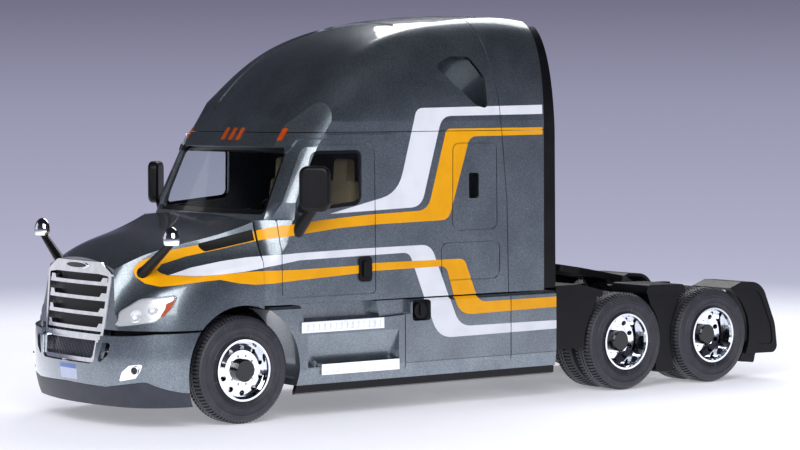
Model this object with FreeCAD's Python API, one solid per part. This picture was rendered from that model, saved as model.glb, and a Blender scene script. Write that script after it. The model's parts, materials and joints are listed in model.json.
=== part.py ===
# Scale model of a three-axle sleeper-cab road tractor, 1:43. Millimetres, +X forward, +Y left, +Z up.
# Everything is first built with the front axle at x = 0 and is moved when it is saved, so that the
# origin lies on the ground under the middle of the model's length.
import FreeCAD
import Part

import math
import os

V = FreeCAD.Vector

# overall places, measured from the front axle
front_overhang = 29.0        # front axle to the bumper's nose
rear_overhang = 161.0        # front axle to the rearmost fender
tandem_front = 110.0         # front axle to the first rear axle
tandem_spacing = 28.6        # between the two rear axles
tyre_radius = 11.8
tyre_width = 6.6
twin_gap = 1.3               # between the two tyres of a rear pair
front_track_half = 28.0      # tyre's outer face from the middle, front
rear_track_half = 28.6       # tyre's outer face from the middle, rear
rim_radius = 6.9
rim_lip = 0.5
axle_pin_radius = 1.0
pin_clearance = 0.05
pin_seat = 0.02
hub_radius = 2.5

# cab, all from the front axle and the ground
cab_half = 28.2
cab_rear = -84.4
cab_front = -5.6
cab_bottom = 25.6
roof_seam = 63.4
roof_top = 89.8
wall = 1.1
seam_gap = 0.15
screen_bottom_z = 45.0
screen_top_z = 60.2
screen_foot = -6.9           # front face on the centreline at the windscreen's lower edge
screen_head = -13.8          # and at its upper edge
screen_bow = 2.0             # how far the front is bent back where the corner starts
screen_depth = 0.9           # glass lies this far behind the pillars
header_x = -13.7             # lamp panel over the windscreen, at its lower edge
header_top_x = -17.9
header_top_z = 66.4
header_half = 19.0           # half width of the flat lamp panel
cowl_z = 44.2                # flat ledge between the hood and the windscreen
corner_start = 23.0
corner_reach = 5.6
corner_spare = 0.25          # the trim's sides stand this far outside the cab
drip_rail = 0.35
roof_panel_depth = 0.3
rear_recess = 2.0            # back wall lies this far inside the side walls
glass_depth = 0.3
glass_thickness = 0.7
glass_gap = 0.05

# hood
hood_gap = 0.3
hood_bottom = 21.2
hood_nose = 27.6
arch_radius = 14.2
nose_top_x = 25.0
nose_top_z = 36.4
nose_foot_x = 27.5
nose_foot_z = 14.0
nose_radius = 120.0

# bumper
bumper_rear = 13.6
bumper_top = 20.9
bumper_bottom = 7.0
valance_bottom = 4.6
bumper_wall = 1.2

# chassis
rail_half = 10.0
rail_web = 0.9
rail_flange = 2.4
rail_bottom = 16.4
rail_top = 22.4
rail_front = 22.0
rail_rear = -157.0

# side fairings
fairing_half = 28.4
fairing_front = -13.9
fairing_rear = -88.0
fairing_top = 25.2
fairing_bottom = 7.5
sill_bottom = 5.4
fairing_wall = 1.0

# fifth wheel
plate_pivot_x = -119.0
plate_pivot_z = 24.3
plate_tilt = 10.5            # degrees, rear end down at rest
plate_front = 14.0
plate_back = 14.5
plate_half = 10.6
plate_thickness = 1.7
kingpin_bore = 1.1
plate_rise = 3.0             # plate's top over its pivot
pivot_pin_radius = 0.8

screw_hole_radius = 1.0
screw_hole_depth = 4.0

rear_axles = [-tandem_front, -tandem_front - tandem_spacing]
shift_x = (rear_overhang - front_overhang) / 2


def in_xz(a, b, depth=0.0):
    return V(a, depth, b)


def in_yz(a, b, depth=0.0):
    return V(depth, a, b)


def in_xy(a, b, depth=0.0):
    return V(a, b, depth)


def rounded_wire(points, radius, place, depth=0.0):
    """Closed outline with every corner rounded to the radius, or to the corner's own third value."""
    count = len(points)
    edges = []
    ends = []
    for i in range(count):
        p = points[i]
        corner = V(p[0], p[1], 0)
        before = V(*points[i - 1][:2], 0) - corner
        after = V(*points[(i + 1) % count][:2], 0) - corner
        r = p[2] if len(p) > 2 else radius
        half = before.getAngle(after) / 2
        reach = r / math.tan(half) if r > 0 and half < math.pi / 2 - 1e-6 else 0.0
        reach = min(reach, 0.49 * before.Length, 0.49 * after.Length)
        start = corner + before.normalize() * reach
        end = corner + after.normalize() * reach
        if reach > 1e-6:
            middle = (before + after).normalize()
            bulge = reach * math.tan(half)
            mid = corner + middle * (bulge / math.sin(half) - bulge)
            ends.append((start, mid, end))
        else:
            ends.append((corner, None, corner))
    for i in range(count):
        start, mid, end = ends[i]
        if mid is not None:
            edges.append(Part.Arc(place(start.x, start.y, depth), place(mid.x, mid.y, depth),
                                  place(end.x, end.y, depth)).toShape())
        nxt = ends[(i + 1) % count][0]
        if (nxt - end).Length > 1e-5:
            edges.append(Part.makeLine(place(end.x, end.y, depth), place(nxt.x, nxt.y, depth)))
    return Part.Wire(edges)


def prism(points, place, low, high, radius=0.0):
    """Outline drawn in a plane and pulled from low to high across it."""
    wire = rounded_wire(points, radius, place, low)
    along = place(0, 0, high) - place(0, 0, low)
    return Part.Face(wire).extrude(along)


def box(x0, x1, y0, y1, z0, z1):
    return Part.makeBox(x1 - x0, y1 - y0, z1 - z0, V(x0, y0, z0))


def cylinder_y(x, z, radius, y0, y1):
    return Part.makeCylinder(radius, y1 - y0, V(x, y0, z), V(0, 1, 0))


def mirrored(shape):
    return shape.mirror(V(0, 0, 0), V(0, 1, 0))


def both(shape):
    return [shape, mirrored(shape)]


def joined(shapes):
    result = shapes[0]
    for shape in shapes[1:]:
        result = result.fuse(shape)
    return result.removeSplitter()


def bezier(points):
    curve = Part.BezierCurve()
    curve.setPoles(points)
    return curve.toShape()


def turned(profile_points, axis_x, degrees):
    """Profile in the XZ plane turned about a vertical line, evenly to both sides."""
    face = Part.Face(Part.makePolygon([V(a, 0, b) for a, b in profile_points + profile_points[:1]]))
    face = face.rotate(V(axis_x, 0, 0), V(0, 0, 1), -degrees)
    return face.revolve(V(axis_x, 0, 0), V(0, 0, 1), 2 * degrees)


# cab body

# along the cab, from the cowl to the back: share of the length, width lost at the soft shoulder line,
# height of the roof's edge line as a share of the roof's height over the seam, fullness of the
# shoulder, and rise of the roof's middle over the edge line
roof_run = cab_front - cab_rear
roof_rise = roof_top - roof_seam
shoulder_line = 0.09         # height of the soft line on the side, as a share of the roof's height
cab_stations = [
    (-0.02, 0.9, 0.012, 0.42, 0.8),
    (0.08, 0.8, 0.028, 0.42, 0.9),
    (0.146, 0.7, 0.070, 0.42, 1.0),
    (0.20, 0.6, 0.215, 0.42, 1.2),
    (0.27, 0.5, 0.432, 0.44, 1.4),
    (0.355, 0.4, 0.632, 0.50, 1.6),
    (0.445, 0.3, 0.775, 0.56, 1.6),
    (0.552, 0.2, 0.882, 0.62, 1.5),
    (0.662, 0.1, 0.947, 0.68, 1.3),
    (0.76, 0.0, 0.982, 0.70, 1.1),
    (0.85, 0.0, 1.0, 0.70, 0.9),
    (1.0, 0.0, 0.985, 0.70, 0.7),
]
edge_line_half = 19.0


def cab_section(station, inset, bottom):
    share, lost, edge, full, crown = station
    x = cab_front - share * roof_run
    side = cab_half - inset
    waist = cab_half - lost - inset
    z_edge = roof_seam + edge * roof_rise - inset
    z_waist = min(roof_seam + shoulder_line * roof_rise - inset * 0.4, z_edge - 0.7)
    y_edge = edge_line_half - inset * 0.3
    over = z_edge - z_waist
    wall_height = z_waist - bottom
    right = bezier([V(x, -side, bottom), V(x, -side, bottom + 0.4 * wall_height),
                    V(x, -side + 0.6 * lost, bottom + 0.75 * wall_height), V(x, -waist, z_waist)])
    reach = waist - y_edge
    right_shoulder = bezier([V(x, -waist, z_waist), V(x, -waist + 0.04 * reach, z_waist + full * over),
                             V(x, -y_edge - 0.55 * reach, z_edge - 0.05 * over), V(x, -y_edge, z_edge)])
    top = bezier([V(x, -y_edge, z_edge), V(x, -y_edge * 0.4, z_edge + crown * 1.35),
                  V(x, y_edge * 0.4, z_edge + crown * 1.35), V(x, y_edge, z_edge)])
    floor = Part.makeLine(V(x, side, bottom), V(x, -side, bottom))
    edges = [right, right_shoulder, top, mirrored(right_shoulder), mirrored(right), floor]
    return Part.Wire(Part.__sortEdges__(edges))


# a front corner seen from above: its two inner control points as shares of its reach and width
round_corner = (0.08, 0.48, 0.45, 0.97)
pillar_corner = (0.17, 0.36, 0.50, 0.81)
header_corner = (0.21, 0.23, 0.55, 0.84)
flared_corner = (0.40, 0.12, 0.62, 0.86)


def plan_wire(level, inset):
    """Cab seen from above at one height: bowed front, shaped corners, straight sides."""
    z, front, bow, start, reach, (a1, b1, a2, b2) = level
    side = cab_half + corner_spare - inset
    start = min(start, side - 0.2)
    x = front - bow - inset
    tail = min(front - bow - reach, x - 0.2)
    far = cab_rear - 20.0
    length, width = x - tail, side - start
    arc = Part.Arc(V(x, -start, z), V(front - inset, 0, z), V(x, start, z)).toShape()
    corner = bezier([V(x, start, z), V(x - a1 * length, start + b1 * width, z),
                     V(x - a2 * length, start + b2 * width, z), V(tail, side, z)])
    sides = [Part.makeLine(V(tail, y, z), V(far, y, z)) for y in (side, -side)]
    back = Part.makeLine(V(far, side, z), V(far, -side, z))
    return Part.Wire(Part.__sortEdges__([arc, corner, mirrored(corner), back] + sides))


def front_trim(inset):
    """Flared behind the hood, round beside the windscreen and facetted beside the lamp panel."""
    slope = (screen_head - screen_foot) / (screen_top_z - screen_bottom_z)
    lean = (header_top_x - header_x) / (header_top_z - screen_top_z)
    ledge, lip = cowl_z - inset, screen_top_z + inset
    cowl = [(0.0, cab_front, 0.05, 27.4, 3.0, flared_corner), (35.0 - inset, cab_front, 0.05, 27.4, 4.0, flared_corner),
            (39.4 - inset, cab_front, 0.05, 25.3, 7.4, flared_corner), (ledge, cab_front, 0.05, 23.5, 8.6, flared_corner)]
    screen = [(ledge, screen_foot + slope * (ledge - screen_bottom_z), screen_bow, corner_start, corner_reach, flared_corner),
              (48.0, screen_foot + slope * (48.0 - screen_bottom_z), screen_bow, corner_start, corner_reach, round_corner),
              (lip, screen_foot + slope * (lip - screen_bottom_z), screen_bow, corner_start - 0.7, corner_reach - 0.3, pillar_corner)]
    header = [(z, header_x + lean * (z - screen_top_z), 0.25, header_half, 7.1, header_corner) for z in (lip, roof_top + 20.0)]
    stacks = [Part.makeLoft([plan_wire(level, inset) for level in levels], True, True) for levels in (cowl, screen, header)]
    return stacks[0].fuse(stacks[1]).fuse(stacks[2])


def cab_body(inset, bottom=None):
    bottom = cab_bottom if bottom is None else bottom
    loft = Part.makeLoft([cab_section(s, inset, bottom) for s in cab_stations], True, False)
    keep = box(cab_rear + inset, cab_front - inset, -60, 60, 0, 120)
    return loft.common(keep).common(front_trim(inset))


door_window = [(-13.9, 45.6, 0.8), (-31.6, 47.2, 2.0), (-31.8, 59.4, 1.6), (-18.6, 59.4, 2.2)]
sleeper_window = [(-53.3, 78.4, 1.0), (-58.6, 80.7, 4.0), (-63.4, 80.5, 2.5), (-67.2, 75.8, 3.0), (-67.7, 68.4, 1.0),
                  (-64.4, 69.2, 1.5), (-58.0, 74.4, 6.0)]
slot_window = [(-62.0, 53.7), (-62.0, 47.8), (-64.9, 47.8), (-64.9, 53.7)]
screen_outline = [(-22.7, screen_bottom_z + 0.3, 1.6), (22.7, screen_bottom_z + 0.3, 1.6),
                  (22.0, screen_top_z - 0.2, 1.4), (-22.0, screen_top_z - 0.2, 1.4)]
door_outline = [(-9.8, 27.0, 1.0), (-35.4, 27.0, 1.0), (-35.4, 60.9, 2.6), (-17.3, 60.9, 3.4), (-9.8, 45.0, 2.0)]
upper_hatch = [(-57.0, 40.4), (-70.4, 40.4), (-70.2, 60.7), (-57.2, 60.7)]
lower_hatch = [(-53.9, 28.9), (-71.0, 28.9), (-71.2, 37.9), (-53.7, 37.9)]
rear_seam = [(-67.0, 89.5), (-69.2, 79.8), (-70.9, 70.5), (-72.1, 58.8), (-73.2, 47.1), (-73.5, 33.0), (-73.7, 24.0)]
rail_path = [(-14.6, 59.2), (-17.4, 62.5), (-40.0, 62.6)]
roof_recess = [(-19.6, -17.0, 3.0), (-19.6, 17.0, 3.0), (-52.0, 15.0, 4.0), (-52.0, -15.0, 4.0)]


def grown(points, by):
    """Outline with every side moved outwards by the distance, or inwards where it is negative."""
    count = len(points)
    area = sum(points[i - 1][0] * points[i][1] - points[i][0] * points[i - 1][1] for i in range(count))
    turn = 1 if area > 0 else -1
    result = []
    for i in range(count):
        here = V(points[i][0], points[i][1], 0)
        into = (here - V(points[i - 1][0], points[i - 1][1], 0)).normalize()
        out = (V(points[(i + 1) % count][0], points[(i + 1) % count][1], 0) - here).normalize()
        normal = (V(into.y, -into.x, 0) + V(out.y, -out.x, 0)) * turn
        moved = here + normal * (by / (1 + into.dot(out)))
        corner = tuple(max(r + by, 0.05) if r > 0 else r for r in points[i][2:])
        result.append((moved.x, moved.y) + corner)
    return result


def side_prism(points, radius, low=15.0, high=40.0):
    return prism(points, in_xz, low, high, radius)


def outline_groove(points, radius, width):
    """Both sides' engraved line along an outline, as a ring to cut out of the skin."""
    ring = side_prism(points, radius).cut(side_prism(grown(points, -width), max(radius - width, 0.05)))
    return Part.makeCompound([ring, mirrored(ring)])


def strip(path, width):
    """Narrow band along a path, for a seam or a bead."""
    ahead = [(x + width / 2, z + width / 2) for x, z in path]
    behind = [(x - width / 2, z - width / 2) for x, z in reversed(path)]
    return ahead + behind


def cab_panels():
    outer = cab_body(0.0)
    inner = cab_body(wall, cab_bottom - 5)
    hollow = inner.common(box(cab_rear + rear_recess + wall, 60, -60, 60, 0, 120))
    tray = Part.Face(cab_section(cab_stations[-1], wall, cab_bottom - 1)).extrude(V(2 * rear_recess, 0, 0))
    tray.translate(V(-rear_recess, 0, 0))
    shell = outer.cut(hollow).cut(tray.common(box(-200, 0, -60, 60, 0, roof_seam + 18)))
    openings = [prism(screen_outline, in_yz, -30, 10)]
    for outline, radius in ((door_window, 1.0), (sleeper_window, 1.0), (slot_window, 0.5)):
        hole = side_prism(outline, radius)
        openings += both(hole)
    for hole in openings:
        shell = shell.cut(hole)
    skin = outer.cut(cab_body(groove_depth))
    for outline, radius in ((door_outline, 1.0), (upper_hatch, 1.8), (lower_hatch, 2.0)):
        shell = shell.cut(skin.common(outline_groove(outline, radius, groove_width)))
    seam = side_prism(strip(rear_seam, groove_width), 0.0)
    shell = shell.cut(skin.common(Part.makeCompound(both(seam))))
    shell = shell.cut(outer.cut(cab_body(roof_panel_depth)).common(prism(roof_recess, in_xy, 68.5, 120)))
    bead = cab_body(-drip_rail).cut(cab_body(0.1)).common(side_prism(strip(rail_path, 0.5), 0.0, 24.5))
    shell = joined([shell] + both(bead))
    low = shell.common(box(-200, 60, -60, 60, 0, roof_seam - seam_gap / 2))
    high = shell.common(box(-200, 60, -60, 60, roof_seam + seam_gap / 2, 120))
    return low, high


groove_width = 0.3
groove_depth = 0.25


def cab_glass():
    band = cab_body(glass_depth).cut(cab_body(glass_depth + glass_thickness, cab_bottom - 5))
    deep_band = cab_body(screen_depth).cut(cab_body(screen_depth + glass_thickness, cab_bottom - 5))
    screen = deep_band.common(prism(grown(screen_outline, -glass_gap), in_yz, -30, 10))
    sides = [band.common(side_prism(grown(door_window, -glass_gap), 1.0))]
    sleeper = [band.common(side_prism(grown(sleeper_window, -glass_gap), 1.0)),
               band.common(side_prism(grown(slot_window, -glass_gap), 0.5))]
    return screen, sides + [mirrored(s) for s in sides], sleeper + [mirrored(s) for s in sleeper]


# hood: station x, top edge line (y, z), fender line (y, z), side at the foot, rise of the middle
hood_stations = [
    (cab_front + hood_gap, 23.5, 43.9, 27.6, 35.3, 28.2, 1.3),
    (-1.0, 22.3, 42.3, 27.3, 34.7, 28.25, 1.5),
    (3.3, 20.95, 41.0, 26.85, 33.95, 28.3, 1.6),
    (7.6, 19.55, 39.95, 26.2, 33.15, 28.3, 1.7),
    (11.7, 18.2, 39.0, 25.35, 32.3, 28.1, 1.8),
    (15.4, 16.85, 37.95, 24.1, 31.35, 27.4, 1.85),
    (18.6, 15.7, 36.8, 22.3, 30.2, 26.0, 1.9),
    (21.3, 14.85, 35.6, 19.95, 28.7, 23.9, 2.1),
    (23.6, 14.35, 34.5, 17.5, 26.7, 21.0, 2.3),
    (25.5, 14.15, 33.6, 15.7, 24.2, 17.8, 2.5),
    (27.0, 14.1, 32.9, 14.7, 21.6, 15.4, 2.6),
    (28.4, 14.05, 32.2, 14.2, 19.2, 14.3, 2.6),
]
hood_skirt = 15.0            # sections are drawn down to here and trimmed at the hood's lower edge


def hood_section(station, inset, bottom):
    x, y_edge, z_edge, y_line, z_line, y_foot, crown = station
    y_edge, y_line, y_foot = y_edge - inset, y_line - inset, y_foot - inset
    z_edge, z_line = z_edge - inset, z_line - 0.4 * inset
    drop = z_line - bottom
    fender = bezier([V(x, -y_foot, bottom), V(x, -y_foot, bottom + 0.55 * drop),
                     V(x, -y_line - 0.62 * (y_foot - y_line), z_line - 0.06 * drop), V(x, -y_line, z_line)])
    fall = z_edge - z_line
    flank = bezier([V(x, -y_line, z_line), V(x, -y_line + 0.35 * (y_line - y_edge), z_line + 0.18 * fall),
                    V(x, -y_edge - 0.18 * (y_line - y_edge), z_line + 0.6 * fall), V(x, -y_edge, z_edge)])
    top = bezier([V(x, -y_edge, z_edge), V(x, -y_edge * 0.4, z_edge + crown * 1.35),
                  V(x, y_edge * 0.4, z_edge + crown * 1.35), V(x, y_edge, z_edge)])
    floor = Part.makeLine(V(x, y_foot, bottom), V(x, -y_foot, bottom))
    return Part.Wire(Part.__sortEdges__([fender, flank, top, mirrored(flank), mirrored(fender), floor]))


def nose_cutter(inset):
    slope = (nose_foot_x - nose_top_x) / (nose_top_z - nose_foot_z)
    low, high = nose_foot_z - 6, nose_top_z + 10
    x_low = nose_foot_x + slope * 6 - inset
    x_high = nose_top_x - slope * 10 - inset
    profile = [(x_low, low), (x_high, high), (60.0, high), (60.0, low)]
    return turned(profile, nose_foot_x - nose_radius, 30)


def nose_slab(out, deep):
    """Slab that follows the grille's slanted and gently curved plane."""
    slope = (nose_foot_x - nose_top_x) / (nose_top_z - nose_foot_z)
    low, high = nose_foot_z - 3, nose_top_z + 3
    x_low = nose_foot_x + slope * 3
    x_high = nose_top_x - slope * 3
    profile = [(x_low + out, low), (x_high + out, high), (x_high - deep, high), (x_low - deep, low)]
    return turned(profile, nose_foot_x - nose_radius, 12)


grille_outline = [(-12.7, 19.0, 0.8), (12.7, 19.0, 0.8), (14.0, 33.2, 1.2), (9.5, 35.6, 3.0), (-9.5, 35.6, 3.0), (-14.0, 33.2, 1.2)]
grille_inside = [(-11.9, 20.0, 0.5), (11.9, 20.0, 0.5), (13.0, 32.6, 0.6), (9.3, 33.0, 2.0), (-9.3, 33.0, 2.0), (-13.0, 32.6, 0.6)]
lower_grille_outline = [(-11.0, 13.9, 1.4), (11.0, 13.9, 1.4), (11.9, 18.8, 0.3), (-11.9, 18.8, 0.3)]
lower_grille_inside = [(-10.1, 14.8, 1.0), (10.1, 14.8, 1.0), (10.9, 19.4, 0.3), (-10.9, 19.4, 0.3)]
grille_bars = [21.0, 24.3, 27.6, 30.9]
bar_height = 0.8


def hood_body(inset):
    return Part.makeLoft([hood_section(s, inset, hood_skirt - inset) for s in hood_stations], True, False)


def hood_band(out, deep):
    return hood_body(out).cut(hood_body(deep))


def hood_panel():
    outer = hood_body(0.0)
    inner = hood_body(wall)
    skin = outer.cut(nose_cutter(0.0)).common(box(-60, 60, -60, 60, hood_bottom, 60))
    hollow = inner.cut(nose_cutter(wall))
    hollow = hollow.fuse(box(cab_front - 1, cab_front + hood_gap + 0.6, -18, 18, hood_bottom - 4, 38))
    hood = skin.cut(hollow)
    hood = hood.cut(cylinder_y(0, tyre_radius, arch_radius, -40, 40))
    seat = prism(grown(grille_outline, glass_gap), in_yz, 10, 40)
    return hood.cut(seat)


def grille():
    frame = prism(grille_outline, in_yz, 20, 32).cut(prism(grille_inside, in_yz, 20, 32)).common(nose_slab(0.3, 1.3))
    parts = [frame]
    inside = prism(grille_inside, in_yz, 20, 32)
    for z in grille_bars:
        bar = box(20, 32, -15, 15, z - bar_height / 2, z + bar_height / 2).common(inside).common(nose_slab(0.15, 1.1))
        wing = prism([(9.6, z), (12.4, z), (12.4, z + 1.3), (10.6, z + 1.3)], in_yz, 20, 32).common(inside)
        wing = wing.common(nose_slab(0.1, 1.0))
        parts += [bar, wing, mirrored(wing)]
    lower = prism(lower_grille_outline, in_yz, 20, 32).cut(prism(lower_grille_inside, in_yz, 20, 32))
    parts.append(lower.common(nose_slab(0.7, 1.0)))
    parts.append(box(20, 32, -12.3, 12.3, 18.6, 19.5).common(nose_slab(0.2, 1.0)))
    return joined(parts)


def grille_mesh():
    upper = prism(grown(grille_inside, 0.3), in_yz, 18, 32).common(nose_slab(-1.35, 2.0))
    lower = prism(grown(lower_grille_inside, 0.3), in_yz, 18, 32).common(nose_slab(-1.35, 2.0))
    return joined([upper, lower])


# bumper
def bumper_plan(z, inset, rear):
    """Plan outline: a round nose between the two arches."""
    nose = front_overhang - inset
    points = [V(rear, -28.3 + inset, z), V(19.5 - inset * 0.3, -26.6 + inset, z), V(24.0 - inset * 0.6, -22.6 + inset * 0.7, z),
              V(27.2 - inset, -15.0, z), V(nose, 0, z),
              V(27.2 - inset, 15.0, z), V(24.0 - inset * 0.6, 22.6 - inset * 0.7, z), V(19.5 - inset * 0.3, 26.6 - inset, z),
              V(rear, 28.3 - inset, z)]
    curve = Part.BSplineCurve()
    curve.interpolate(points)
    return Part.Wire([curve.toShape(), Part.makeLine(points[-1], points[0])])


def bumper_solid(extra):
    levels = [(valance_bottom, 1.7), (bumper_bottom + 2.4, 0.35), (14.0, 0.0), (bumper_top + 0.4, 0.45)]
    wires = [bumper_plan(z, lost + extra, 8.0) for z, lost in levels]
    return Part.makeLoft(wires, True, False)


bumper_slot = [(13.8, 18.6, 0.2), (16.3, 18.4, 0.5), (15.6, 15.8, 1.5), (13.2, 14.1, 0.8), (12.6, 14.6, 0.4), (13.3, 16.4, 1.5)]
fog_lamp_outline = [(18.3, 10.2, 0.3), (19.2, 12.4, 1.0), (21.0, 13.9, 1.0), (23.8, 14.3, 0.4), (23.2, 12.5, 1.0), (22.3, 11.1, 0.6)]


def bumper_pieces():
    skin = bumper_solid(0.0)
    inside = bumper_solid(bumper_wall)
    inside = inside.common(box(-40, 60, -60, 60, 0, 60))
    low = inside.copy()
    low.translate(V(0, 0, -3.0))
    high = inside.copy()
    high.translate(V(0, 0, 4.0))
    shell = skin.cut(inside).cut(low).cut(high)
    shell = shell.common(box(bumper_rear - 4.0, 60, -60, 60, 0, 60))
    shell = shell.cut(cylinder_y(0, tyre_radius, arch_radius + 0.2, -40, 40))
    lower_notch = prism(grown(lower_grille_outline, 0.2) , in_yz, 15, 40)
    upper_notch = box(10, 40, -13.0, 13.0, 18.4, 40)
    line = [(-29.0, 7.0), (-24.0, 10.4), (-14.5, 8.9), (0.0, 9.3), (14.5, 8.9), (24.0, 10.4), (29.0, 7.0)]
    upper_part = prism(line + [(32.0, 7.0), (32.0, 40.0), (-32.0, 40.0), (-32.0, 7.0)], in_yz, 0, 60)
    upper = shell.common(upper_part).cut(lower_notch).cut(upper_notch)
    upper = upper.cut(prism([(0, bumper_top + 0.1), (20.5, bumper_top - 0.3), (hood_nose + 2, bumper_top - 1.3),
                             (hood_nose + 2, 30), (0, 30)], in_xz, -40, 40))
    for side in (1, -1):
        slot = prism([(side * y, z, r) for y, z, r in bumper_slot], in_yz, front_overhang - 3.2, 40)
        upper = upper.cut(slot)
    upper = upper.cut(Part.makeCompound(both(prism(fog_lamp_outline, in_yz, 20, 40))))
    lower = shell.cut(upper_part)
    lower.translate(V(0, 0, -0.1))
    lower = lower.common(bumper_solid(0.0))
    return upper, lower


def fog_lamps():
    slab = bumper_solid(0.1).cut(bumper_solid(bumper_wall + 0.2))
    lamp = slab.common(prism(grown(fog_lamp_outline, -glass_gap), in_yz, 18, 40))
    return both(lamp)


headlamp_outline = [(25.6, 21.9, 0.4), (24.8, 25.2, 2.5), (21.6, 28.1, 2.5), (15.3, 29.0, 0.5), (16.5, 26.6, 1.5), (19.6, 23.3, 2.0)]
lamp_inner_y = 14.6
vent_outline = [(7.1, 39.3, 0.6), (6.2, 37.6, 0.9), (-5.0, 39.9, 0.2), (-5.0, 42.3, 0.2)]
vent_depth = 0.4


def hood_vents(hood):
    """Black inlays in both flanks of the hood, and the hood with their seats cut."""
    inlay = hood_band(0.0, vent_depth).common(prism(grown(vent_outline, -glass_gap), in_xz, lamp_inner_y, 40))
    seat = hood_band(-1.0, vent_depth + glass_gap).common(prism(vent_outline, in_xz, lamp_inner_y, 40))
    return both(inlay), hood.cut(Part.makeCompound(both(seat)))


def headlamps(hood):
    """Lenses set into the front of each fender: cut from the hood's own skin, and the hood is opened there."""
    lens = hood_band(0.05, 0.9).common(prism(grown(headlamp_outline, -glass_gap), in_xz, lamp_inner_y, 40))
    lens = lens.cut(nose_cutter(0.0))
    opening = prism(headlamp_outline, in_xz, lamp_inner_y, 40)
    return both(lens), hood.cut(opening).cut(mirrored(opening))


def marker_lamps():
    outer = cab_body(-0.35)
    skin = outer.cut(cab_body(-0.02))
    lamps = []
    for y in (-marker_outer, -marker_inner, 0.0, marker_inner, marker_outer):
        lamp = prism([(y - 0.45, 61.6), (y + 0.45, 61.6), (y + 0.45, 64.4), (y - 0.45, 64.4)], in_yz, -24, -8, 0.3)
        lamps.append(skin.common(lamp))
    return lamps


marker_outer = 19.6
marker_inner = 3.1


# interior
def interior_tub():
    floor = box(cab_rear + rear_recess + wall + 0.3, cab_front - wall - 1.2, -cab_half + wall + 0.4, cab_half - wall - 0.4,
                cab_bottom, cab_bottom + 1.0)
    bulkhead = box(-47.0, -46.0, -25.5, 25.5, cab_bottom + 1.0, roof_seam - 1.5)
    dash = prism([(-9.2, cab_bottom + 1.0), (-9.2, 43.6), (-12.5, 44.4), (-16.6, 43.0), (-17.2, 38.0), (-14.0, cab_bottom + 1.0)],
                 in_xz, -22.0, 22.0, 0.4)
    pedestals = [box(-36.0, -27.0, y - 4.0, y + 4.0, cab_bottom + 0.5, 33.0) for y in (12.0, -12.0)]
    legs = [box(x - 2, x + 2, y - 1.2, y + 1.2, rail_top, cab_bottom + 0.5) for x in (-20.0, -70.0) for y in (9.0, -9.0)]
    return joined([floor, bulkhead, dash] + pedestals + legs)


def seat(y):
    cushion = prism([(-26.0, 33.0, 0.3), (-26.5, 37.0, 1.5), (-36.0, 36.4, 0.5), (-37.0, 33.0, 0.3)], in_xz, y - 4.6, y + 4.6)
    back = prism([(-34.6, 35.0, 0.4), (-36.8, 52.0, 1.0), (-39.2, 52.0, 1.0), (-38.0, 33.0, 0.4)], in_xz, y - 4.4, y + 4.4)
    head = prism([(-36.7, 51.0, 0.6), (-37.1, 57.0, 1.0), (-39.2, 57.0, 1.0), (-39.2, 51.0, 0.4)], in_xz, y - 2.6, y + 2.6)
    return joined([cushion, back, head])


def steering_wheel():
    rim = Part.makeTorus(4.6, 0.35, V(0, 0, 0), V(0, 0, 1))
    hub = Part.makeCylinder(1.1, 0.8, V(0, 0, -0.5))
    spokes = [box(-4.6, 4.6, -0.4, 0.4, -0.3, 0.1), box(-0.4, 0.4, -4.6, 0.1, -0.3, 0.1)]
    column = Part.makeCylinder(0.5, 2.4, V(0, 0, -2.6))
    wheel = joined([rim, hub, column] + spokes)
    wheel.rotate(V(0, 0, 0), V(0, 1, 0), 0)
    wheel.rotate(V(0, 0, 0), V(0, 1, 0), -60)
    wheel.translate(V(-19.5, 12.0, 44.0))
    return wheel


# mirrors
mirror_x = -15.1
mirror_y = 33.6
mirror_width = 6.9
mirror_angle = 45.0          # heads stand out from the cab, turned back by this much


def door_mirror():
    half, y = mirror_width / 2, mirror_y
    corners = [(mirror_x + a * half, z, 1.9) for a, z in ((1, 46.2), (1, 56.2), (-1, 56.2), (-1, 46.2))]
    head = prism(corners, in_xz, y - 1.3, y + 1.3)
    head = head.makeFillet(0.9, head.Edges)
    head.rotate(V(mirror_x, y, 0), V(0, 0, 1), -mirror_angle)
    foot = V(-14.5, 27.2, 41.4)
    way = V(-15.5, 32.6, 47.2) - foot
    arm = Part.makeCone(1.5, 1.15, way.Length, foot, way).fuse(Part.makeSphere(1.15, foot + way))
    return joined([head, arm]).cut(cab_body(-0.02))


def hood_mirror():
    """Half an egg with its flat side down and the glass facing back, on a leaning arm."""
    stretch = FreeCAD.Matrix()
    stretch.scale(1.7, 2.3, 2.75)
    head = Part.makeSphere(1.0).transformGeometry(stretch)
    flat_drop = 1.2
    head = head.cut(box(-3, -0.75, -3, 3, -3, 3)).cut(box(-3, 3, -3, 3, -4, -flat_drop))
    centre = V(18.5, 28.4, 41.0)
    head.translate(centre)
    foot = V(19.1, 17.6, 33.4)
    way = V(18.5, 28.2, 40.1) - foot
    arm = Part.makeCone(1.25, 0.75, way.Length + 0.6, foot, way)
    pad = Part.makeSphere(1.4, foot)
    above = box(0, 40, 0, 60, centre.z - flat_drop, 60)
    return head, joined([arm, pad]).cut(above).cut(hood_body(-0.02))


def door_handle():
    plate = prism([(-30.6, 29.8), (-34.0, 29.8), (-34.0, 35.5), (-30.6, 35.5)], in_xz, cab_half - 0.5, cab_half + 0.5, 0.9)
    grip = prism([(-31.4, 30.8), (-33.2, 30.8), (-33.2, 34.5), (-31.4, 34.5)], in_xz, cab_half + 0.5, cab_half + 0.95, 0.5)
    return joined([plate.cut(cab_body(-0.01)), grip])


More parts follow.
